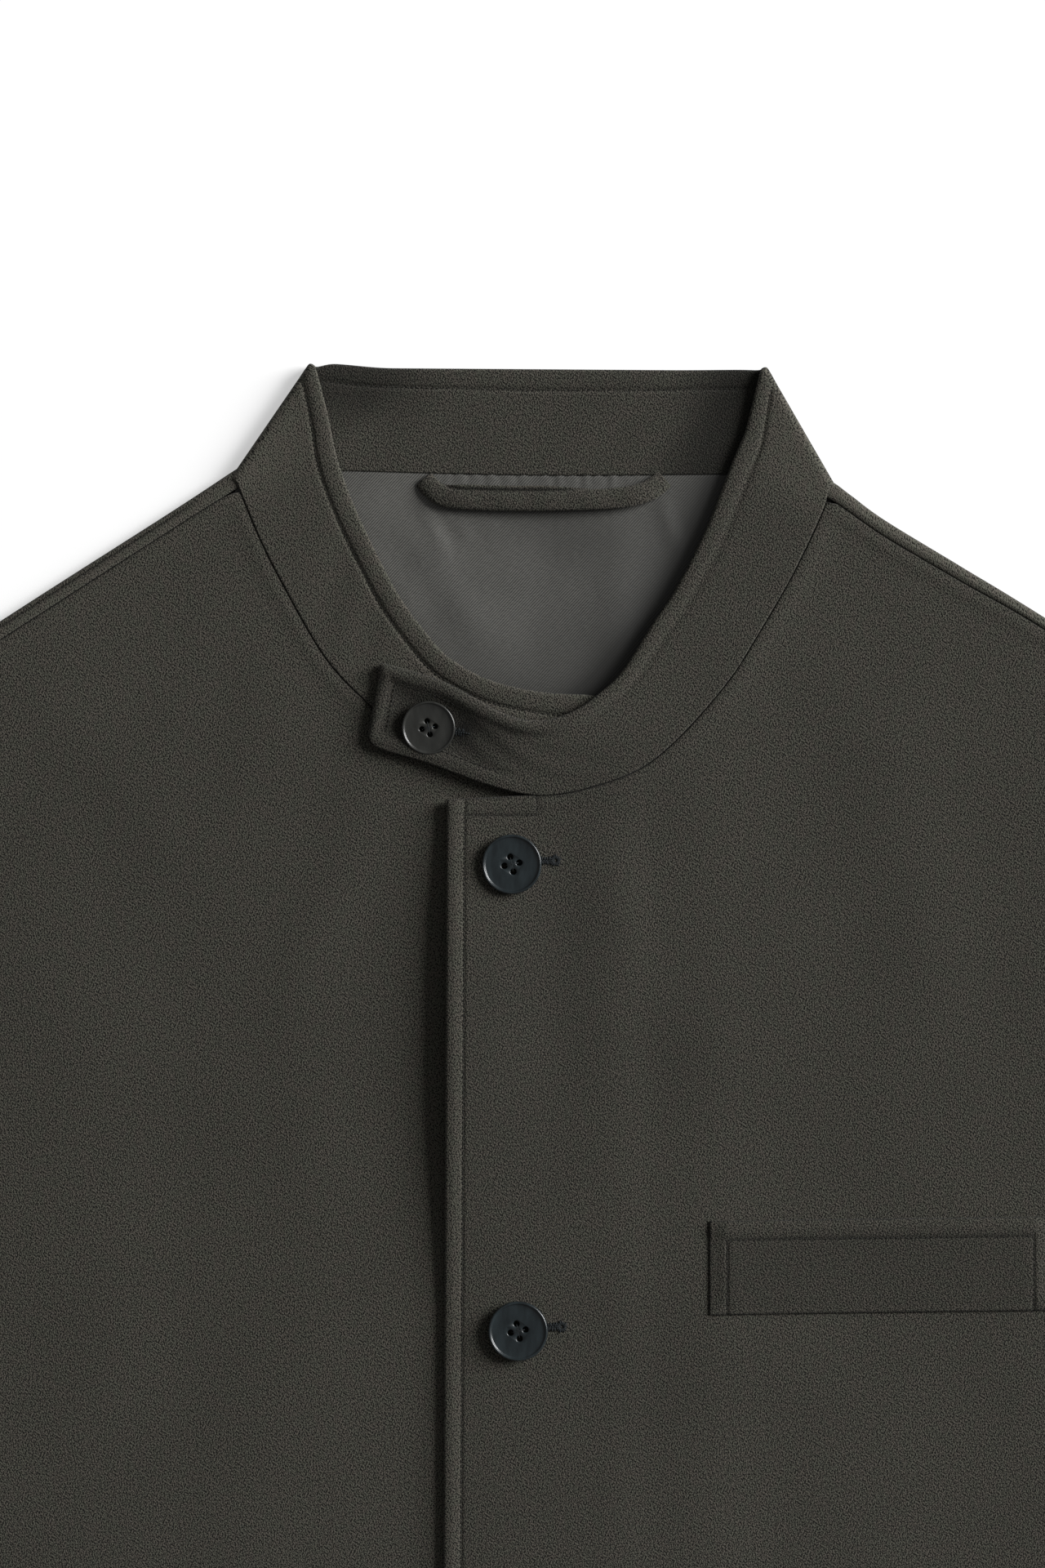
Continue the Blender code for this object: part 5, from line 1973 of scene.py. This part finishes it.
@dataclass(frozen=True)
class Buttons:
    """Four-hole buttons turned with a raised rim, one on the tab and four down the over front."""

    places: tuple[ButtonPlace, ...] = (
        ButtonPlace("collar_button", -31.5, -83.8, 18.0, 4.0),
        ButtonPlace("front_button_1", -3.6, -129.6, 20.0, 0.0),
        ButtonPlace("front_button_2", -1.5, -285.9, 20.0, 0.0),
        ButtonPlace("front_button_3", -1.8, -442.2, 20.0, 0.0),
        ButtonPlace("front_button_4", -2.2, -598.5, 20.0, 0.0),
    )
    profile: tuple = (
        (0.66, 0.000),
        (0.84, 0.022),
        (0.94, 0.070),
        (0.988, 0.130),
        (1.00, 0.180),
        (0.996, 0.222),
        (0.982, 0.254),
        (0.962, 0.270),
        (0.938, 0.272),
        (0.916, 0.258),
        (0.902, 0.236),
        (0.888, 0.222),
        (0.862, 0.216),
        (0.70, 0.212),
        (0.45, 0.206),
    )
    drill: tuple = ((-0.2, 1.0), (0.170, 1.0), (0.192, 1.08), (0.207, 1.24), (0.5, 2.4))
    hole_radius: float = 0.10
    hole_spread: float = 0.255
    turn: float = math.radians(12)
    sides: int = 96
    drill_sides: int = 28
    sharp: float = math.radians(50)
    thread_spread: float = 0.92
    thread_height: float = 0.165
    thread_radius: float = 0.00021
    thread_bow: float = 0.00038

    def holes(self) -> Array:
        """Middles of the four holes."""
        return self.hole_spread * circle(4, self.turn)

    def blank(self) -> bpy.types.Object:
        """The turned form at radius 1: each ring is a circle of the profile, with flat ends."""
        table = np.array(self.profile)
        return self.solid("button_blank", table[:, :1, None] * circle(self.sides) + table[:, 1:, None] * UP)

    def drills(self) -> bpy.types.Object:
        """Four drills that widen at the face, so that each hole has a soft edge.

        Returns:
            The drills as one helper.
        """
        table = np.array(self.drill)
        widths = table[:, 1:, None] * self.hole_radius
        rings = widths * circle(self.drill_sides) + table[:, :1, None] * UP
        return self.solid("button_drills", *(rings + place for place in self.holes()))

    def solid(self, name: str, *stacks: Array) -> bpy.types.Object:
        """Closed solids, one for each stack of rings, as one object that only helps to make the buttons.

        Args:
            name: Name of the helper.
            stacks: Rings of points from bottom to top.

        Returns:
            The helper.
        """
        faces = []
        first = 0
        for rings in stacks:
            number = np.arange(rings.shape[0] * rings.shape[1]).reshape(rings.shape[:2]) + first
            beyond = np.roll(number, -1, axis=1)
            sides = np.stack([number[:-1], beyond[:-1], beyond[1:], number[1:]], axis=-1)
            faces += [number[0, ::-1].tolist(), number[-1].tolist(), *sides.reshape(-1, 4).tolist()]
            first += number.size
        mesh = bpy.data.meshes.new(name)
        mesh.from_pydata(np.concatenate([rings.reshape(-1, 3) for rings in stacks]).tolist(), [], faces)
        helper = bpy.data.objects.new(name, mesh)
        bpy.context.collection.objects.link(helper)
        return helper

    def drilled(self) -> bpy.types.Mesh:
        """The turned form with its holes cut.

        Returns:
            Its mesh, at radius 1.
        """
        blank = self.blank()
        drills = self.drills()
        cut = blank.modifiers.new("thread holes", "BOOLEAN")
        cut.operation = "DIFFERENCE"
        cut.object = drills
        bpy.context.view_layer.update()
        mesh = bpy.data.meshes.new_from_object(blank.evaluated_get(bpy.context.evaluated_depsgraph_get()))
        bpy.data.objects.remove(blank)
        bpy.data.objects.remove(drills)
        return mesh

    def centre(self, place: ButtonPlace) -> Array:
        """The middle of a button's back, just clear of its cloth.

        Args:
            place: Where the button sits.

        Returns:
            A point in the garment's plan.
        """
        x, y = np.array([place.x]) * MM, np.array([place.y]) * MM
        on_tab = place.node == "collar_button"
        height = TAB_FACE.height(x, y) if on_tab else OVER.height(x, y)
        return np.array([x[0], y[0], height[0] + LAY.layer_gap])

    def spun(self, place: ButtonPlace, points: Array) -> Array:
        """Points of a button of radius 1 put in their place in the plan: scaled, leant about X and moved.

        Args:
            place: Where the button sits.
            points: Points of the button.

        Returns:
            The points in the garment's plan.
        """
        lean = math.radians(place.lean)
        cosine, sine = math.cos(lean), math.sin(lean)
        turn = np.array([[1, 0, 0], [0, cosine, -sine], [0, sine, cosine]])
        return points * place.diameter / 2 * MM @ turn.T + self.centre(place)

    def build(self, resins: dict[bool, bpy.types.Material], thread: bpy.types.Material) -> None:
        """Makes the buttons, and the thread that crosses between the holes of each.

        Args:
            resins: The finish by whether the button is the collar's; the collar's is a paler, greyer copy
                with painted reflection.
            thread: The finish of the thread.
        """
        master = self.drilled()
        flat = np.empty(len(master.vertices) * 3)
        master.vertices.foreach_get("co", flat)
        corner = np.empty(len(master.loops), int)
        master.loops.foreach_get("vertex_index", corner)
        uv = flat.reshape(-1, 3)[corner][:, :2]
        holes = self.holes()[:, :2] * self.thread_spread
        sewn = []
        for place in self.places:
            mesh = master.copy()
            mesh.name = f"{place.node}_turned"
            points = self.spun(place, flat.reshape(-1, 3)) + PLAN_TO_FRAME
            mesh.vertices.foreach_set("co", points.astype(np.float32).ravel())
            weave = mesh.uv_layers.new(name="weave")
            spread = uv * place.diameter / 2 * MM + place.y
            weave.uv.foreach_set("vector", spread.astype(np.float32).ravel())
            mesh.shade_smooth()
            mesh.set_sharp_from_angle(angle=self.sharp)
            mesh.materials.clear()
            mesh.materials.append(resins[place.node == "collar_button"])
            piece = bpy.data.objects.new(f"{place.node}_turned", mesh)
            bpy.context.collection.objects.link(piece)
            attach(piece, "root")
            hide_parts(place.node)
            LOG.info("%s: %d faces", piece.name, len(mesh.polygons))
            starts = self.spun(place, at_height(holes[:2], self.thread_height))
            ends = self.spun(place, at_height(-holes[:2], self.thread_height))
            sewn.append(strands(starts, ends, np.tile(UP, (2, 1)), self.thread_radius, self.thread_bow))
        add_piece("button_thread", joined(sewn), thread)
        bpy.data.meshes.remove(master)


class TabFace:
    """The outer face of the collar's over part past its fold, read by plan."""

    skipped: int = 50

    def __init__(self) -> None:
        """Keeps the points of that face."""
        start = COLLAR.band().over_from + self.skipped
        self.points = COLLAR.faces()[0][start:].reshape(-1, 3)

    def height(self, x: Array, y: Array) -> Array:
        """Height of the nearest point of the face to each plan point."""
        gap = np.hypot(self.points[:, 0] - x[:, None], self.points[:, 1] - y[:, None])
        return self.points[np.argmin(gap, axis=1), 2]


TAB_FACE = TabFace()


@dataclass(frozen=True)
class Stitching:
    """Tonal top stitching on the collar, the buttonhole edge and the welt."""

    pitch: float = 0.0017
    first: float = 0.0003
    share: float = 0.66
    radius: float = 0.00015
    bow: float = 0.00006
    lift: float = 0.00005
    collar_lift: float = 0.0001
    corner_top_y: float = -0.1072
    hem_end: float = 0.002

    def run(self, line: Array, ups: Array) -> Surface:
        """Stitches one after another along a line, each a strand with a short gap after it.

        Args:
            line: Points of the line on the cloth.
            ups: Direction away from the cloth at each point.

        Returns:
            The stitches as one surface.
        """
        reach = length_along(line)
        places = np.arange(self.first, reach[-1] - self.pitch, self.pitch)
        facing = np.stack([np.interp(places, reach, axis) for axis in ups.T], axis=1)
        starts = at_length(line, places)
        ends = at_length(line, places + self.pitch * self.share)
        return strands(starts, ends, unit(facing), self.radius, self.bow)

    def level(self, x: Array, y: Array, z: Array) -> Surface:
        """A run of stitches on cloth that lies level."""
        line = np.stack([x, y, z + self.lift], axis=1)
        return self.run(line, np.broadcast_to(UP, line.shape))

    def straight(self, start: tuple | Array, end: tuple | Array, count: int) -> Array:
        """Points evenly from one point to another, with both."""
        share = np.linspace(0, 1, count)[:, None]
        return np.asarray(start) * (1 - share) + np.asarray(end) * share

    def on_over_front(self, start: tuple, end: tuple, inset: float | None = None) -> Surface:
        """Stitches on the over front between two plan points, or along its edge at an inset.

        Args:
            start: First plan point.
            end: Last plan point.
            inset: Distance from the edge, in place of the points' own X.

        Returns:
            The stitches.
        """
        x, y = self.straight(start, end, 300).T
        if inset is not None:
            x = OVER.edge_x(y) + inset
        return self.level(x, y, OVER.height(x, y))

    def on_welt(self, start: tuple, end: tuple) -> Surface:
        """Stitches on the welt between two places measured from its top left corner."""
        across, down = self.straight(start, end, 120).T
        return self.level(*WELT.place(across, down), WELT.height(across, down))

    def on_collar(self, outer: bool) -> list[Surface]:
        """Stitches on one face of the collar: inside its free edge and, outside, round the tab.

        Args:
            outer: Whether the face is the outer one.

        Returns:
            The runs of stitches.
        """
        band = COLLAR.band()
        span = np.linalg.norm(band.top - band.seam, axis=1)
        down = (band.seam - band.top) / span[:, None]
        facing = band.outside * (1 if outer else -1)
        lift = COLLAR.thickness / 2 - COLLAR.groove + self.collar_lift
        upper = band.top + down * COLLAR.stitch_inset(band)[:, None] + facing * lift
        lower = band.seam - down * COLLAR.tab_stitch + facing * lift
        reach = length_along(upper)
        stop = len(upper) - int(np.searchsorted(-reach[::-1], COLLAR.tab_stitch - reach[-1]))
        free = band.over_from + COLLAR.free_row * COLLAR.steps
        if not outer:
            return [self.run(upper[:stop], facing[:stop])]
        across = self.straight(upper[stop - 1], lower[stop - 1], 30)
        return [
            self.run(upper[: band.over_from], facing[: band.over_from]),
            self.run(upper[free:stop], facing[free:stop]),
            self.run(lower[free:stop], facing[free:stop]),
            self.run(across, np.broadcast_to(facing[stop - 1], across.shape)),
        ]

    def build(self, thread: bpy.types.Material) -> None:
        """Makes all the top stitching as one piece.

        Args:
            thread: The finish of the thread.
        """
        inset, top, end_x = OVER.stitch_inset, OVER.stitch_top_y, OVER.stitch_end_x
        corner_x = float(OVER.edge_x(np.array(top))) + inset
        mouth, foot = WELT.top_stitch, WELT.size[1]
        left, right = WELT.side_stitch, WELT.size[0] - WELT.side_stitch
        runs = [
            *self.on_collar(True),
            *self.on_collar(False),
            self.on_over_front((0, top), (0, CUT.hem + self.hem_end), inset),
            self.on_over_front((corner_x, top), (end_x, top)),
            self.on_over_front((end_x, top), (end_x, self.corner_top_y)),
            self.on_welt((left, mouth), (right, mouth)),
            self.on_welt((left, mouth), (left, foot)),
            self.on_welt((right, mouth), (right, foot)),
        ]
        add_piece("top_stitching", joined(runs), thread)


@dataclass(frozen=True)
class Buttonholes:
    """Worked keyhole buttonholes: uneven bars of thread square to a slit, and a ring of them at its eye."""

    before: float = 0.0055
    beyond: float = 0.0146
    tab_beyond: float = 0.0140
    rise: float = 0.0012
    bar: tuple[float, float] = (0.0001, 0.0013)
    eye: tuple[float, float] = (0.0005, 0.0020)
    spokes: int = 15
    pitch: float = 0.00056
    thread: float = 0.00025
    bow: float = 0.00012
    uneven: float = 0.22
    slant: float = 0.00022
    ragged: float = 0.13
    tab_slit: tuple[float, float] = (15.3, -2.4)
    slit_points: int = 24
    lift: float = 0.00012
    slit_lift: float = 0.00002

    def worked(self, centre: Array, along: Array, beyond: float, keyhole: bool) -> tuple[Array, Array]:
        """Plan starts and ends of the bars round one slit.

        Args:
            centre: Plan point on the slit.
            along: Direction of the slit.
            beyond: How far the slit runs on from the centre.
            keyhole: Whether it ends in an eye.

        Returns:
            Starts at the slit and ends away from it.
        """
        square = np.array([-along[1], along[0]])
        run = np.arange(-self.before, beyond - self.eye[1] * 0.8, self.pitch)[:, None]
        phase = centre[1] / MM
        uneven = 1.0 + self.uneven * np.sin(run * 5300 + 31 * phase)
        slant = self.slant * np.sin(run * 3900 + 17 * phase) * along
        foot = centre + run * along
        upper = foot + square * self.bar[1] * uneven + slant
        lower = foot - square * self.bar[1] * (2.0 - uneven) - slant
        starts = np.vstack([foot + square * self.bar[0], foot - square * self.bar[0]])
        ends = np.vstack([upper, lower])
        if not keyhole:
            return starts, ends
        fan = np.linspace(-math.pi, math.pi, self.spokes, endpoint=False)[:, None]
        spoke = np.cos(fan) * along + np.sin(fan) * square
        ragged = 1.0 + self.ragged * np.sin(fan * 5 + 23 * phase)
        tip = centre + beyond * along
        starts = np.vstack([starts, tip + spoke * self.eye[0]])
        return starts, np.vstack([ends, tip + spoke * self.eye[1] * ragged])

    def sewn(self, face: "TabFace | OverFront", starts: Array, ends: Array, lift: float) -> Surface:
        """Strands between plan points, laid on a face.

        Args:
            face: What gives the cloth's height.
            starts: First plan points.
            ends: Last plan points.
            lift: Height above the cloth.

        Returns:
            The strands.
        """
        raised = [at_height(ends_of, face.height(*ends_of.T) + lift) for ends_of in (starts, ends)]
        return strands(*raised, np.tile(UP, (len(starts), 1)), self.thread, self.bow)

    def build(self, thread: bpy.types.Material) -> None:
        """Makes the buttonholes, each with a dark strand of thread lying in its slit as painted shade for the
        cut.

        Args:
            thread: The finish of the thread.
        """
        parts = []
        for place in BUTTONS.places:
            on_tab = place.node == "collar_button"
            along = unit(np.array(self.tab_slit)) if on_tab else np.array([1.0, 0.0])
            centre = np.array([place.x, place.y]) * MM + np.array([0, 0 if on_tab else self.rise])
            beyond = self.tab_beyond if on_tab else self.beyond
            face = TAB_FACE if on_tab else OVER
            slit = centre + np.linspace(-self.before, beyond, self.slit_points)[:, None] * along
            bars = self.worked(centre, along, beyond, not on_tab)
            parts.append(self.sewn(face, *bars, -self.lift if on_tab else self.lift))
            # A strand of the dark thread along the slit: painted shade in the cut
            parts.append(self.sewn(face, slit[:-1], slit[1:], self.slit_lift))
        add_piece("buttonhole_stitching", joined(parts), thread)


WELT = PocketWelt()
BUTTONS = Buttons()


# The studio


@dataclass(frozen=True)
class Studio:
    """A pale floor, one soft lamp low at the right, soft light all round, and a camera straight above."""

    view_middle: tuple[float, float] = (0.0, -0.10275)
    view_height: float = 0.526
    lens: float = 100.0
    film: float = 36.0
    key_place: tuple[float, float, float] = (7.00, 2.60, 3.24)
    key_aim: tuple[float, float, float] = (0.0, -0.10, 0.0)
    key_power: float = 1575.0
    key_size: float = 4.2
    ambient: float = 0.20
    floor_glow: float = 0.46
    floor_grey: float = 0.52
    floor_reach: float = 5.0
    floor_low: float = -0.0003
    cloth_top: float = 0.006

    def floor(self) -> None:
        """A wide pale floor that glows a little, as an overexposed sweep does."""
        book = NodeBook("studio_floor")
        place = book.term("ShaderNodeTexCoord", {}, {}, "Object")
        sockets = {"Vector": place, "Scale": 3.0, "Detail": 2.0}
        haze = book.term("ShaderNodeTexNoise", {"noise_dimensions": "2D"}, sockets, "Fac")
        material = book.finish(
            {"Roughness": 0.75 + haze * 0.1},
            {
                "Base Color": (self.floor_grey, self.floor_grey, self.floor_grey, 1),
                "Emission Color": (1, 1, 1, 1),
                "Emission Strength": self.floor_glow,
            },
        )
        mesh = bpy.data.meshes.new("studio_floor")
        sides = ((-1, -1), (1, -1), (1, 1), (-1, 1))
        corners = [(x * self.floor_reach, y * self.floor_reach, self.floor_low) for x, y in sides]
        mesh.from_pydata(corners, [], [(0, 1, 2, 3)])
        mesh.materials.append(material)
        floor = bpy.data.objects.new("studio_floor", mesh)
        bpy.context.collection.objects.link(floor)

    def light(self) -> None:
        """A square soft lamp aimed at the middle of the view, and an even grey surround."""
        lamp = bpy.data.lights.new("key_lamp", "AREA")
        lamp.energy = self.key_power
        lamp.size = self.key_size
        key = bpy.data.objects.new("key_lamp", lamp)
        key.location = np.array(self.key_place) + PLAN_TO_FRAME
        key.rotation_euler = self.aimed(np.array(self.key_aim) - np.array(self.key_place))
        key.visible_camera = False
        bpy.context.collection.objects.link(key)
        world = bpy.data.worlds.new("studio_surround")
        world.use_nodes = True
        surround = world.node_tree.nodes["Background"]
        surround.inputs["Color"].default_value = (1, 1, 1, 1)
        surround.inputs["Strength"].default_value = self.ambient
        bpy.context.scene.world = world

    def aimed(self, way: Array) -> tuple[float, float, float]:
        """Euler angles that turn a lamp's -Z towards a direction."""
        flat = math.hypot(way[0], way[1])
        return (math.atan2(flat, -way[2]), 0.0, math.atan2(way[1], way[0]) - math.pi / 2)

    def camera(self) -> None:
        """A long lens straight above: its distance is the view's height times lens over film."""
        lens = bpy.data.cameras.new("camera")
        lens.lens = self.lens
        lens.sensor_width = self.film
        camera = bpy.data.objects.new("camera", lens)
        distance = self.view_height * self.lens / self.film
        camera.location = np.array([*self.view_middle, distance + self.cloth_top]) + PLAN_TO_FRAME
        bpy.context.collection.objects.link(camera)
        bpy.context.scene.camera = camera
        bpy.context.scene.view_settings.view_transform = "Standard"

    def build(self) -> None:
        """Sets up the floor, the light and the camera."""
        self.floor()
        self.light()
        self.camera()
        LOG.info("studio ready")


SLEEVES = (
    Sleeve(
        Hand.LEFT,
        (
            Crease(-300, -170, -318, -330, 16, 1.7),
            Crease(-352, -214, -338, -400, 14, -1.3),
            Crease(-426, -330, -350, -452, 12, 2.1),
            Crease(-448, -404, -366, -545, 15, -1.4),
            Crease(-462, -500, -384, -588, 11, 1.8),
            Crease(-488, -620, -420, -560, 12, 1.3),
        ),
    ),
    Sleeve(
        Hand.RIGHT,
        (
            Crease(296, -190, 312, -350, 15, 1.8),
            Crease(362, -226, 330, -390, 13, -1.3),
            Crease(414, -300, 344, -470, 13, 2.0),
            Crease(452, -430, 372, -520, 12, 1.7),
            Crease(470, -540, 380, -580, 14, -1.3),
            Crease(484, -600, 402, -640, 10, 1.4),
        ),
    ),
)


def main() -> None:
    """Builds every piece of the garment in order, then the studio."""
    logging.basicConfig(level=logging.INFO, format="%(message)s")
    LOG.info("frame holds %d nodes", len(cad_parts))
    wool = WoolCrepe().material()
    satin = SatinLining().material()
    # The collar button's resin is a paler, greyer copy of the front buttons' resin: painted reflection of the
    # light it catches
    collar_resin_painted_reflection = PolishedButton("collar_button_resin_painted_reflection", (0.0130, 0.0133, 0.0118, 1), (0.0225, 0.0228, 0.0205, 1))
    resins = {False: PolishedButton().material(), True: collar_resin_painted_reflection.material()}
    tonal = SewingThread("tonal_thread", (0.017, 0.0165, 0.0135, 1), (0.006, 0.006, 0.005, 1)).material()
    dark = SewingThread("dark_thread", (0.0125, 0.0165, 0.0185, 1), (0.003, 0.004, 0.0045, 1)).material()
    Back().build(wool)
    BackLining().build(satin)
    HangerLoop().build(wool)
    UnderFront().build(wool)
    OVER.build(wool)
    for sleeve in SLEEVES:
        sleeve.build(wool)
    COLLAR.build(wool)
    WELT.build(wool)
    BUTTONS.build(resins, dark)
    Buttonholes().build(dark)
    Stitching().build(tonal)
    Studio().build()


if __name__ == "__main__":
    main()
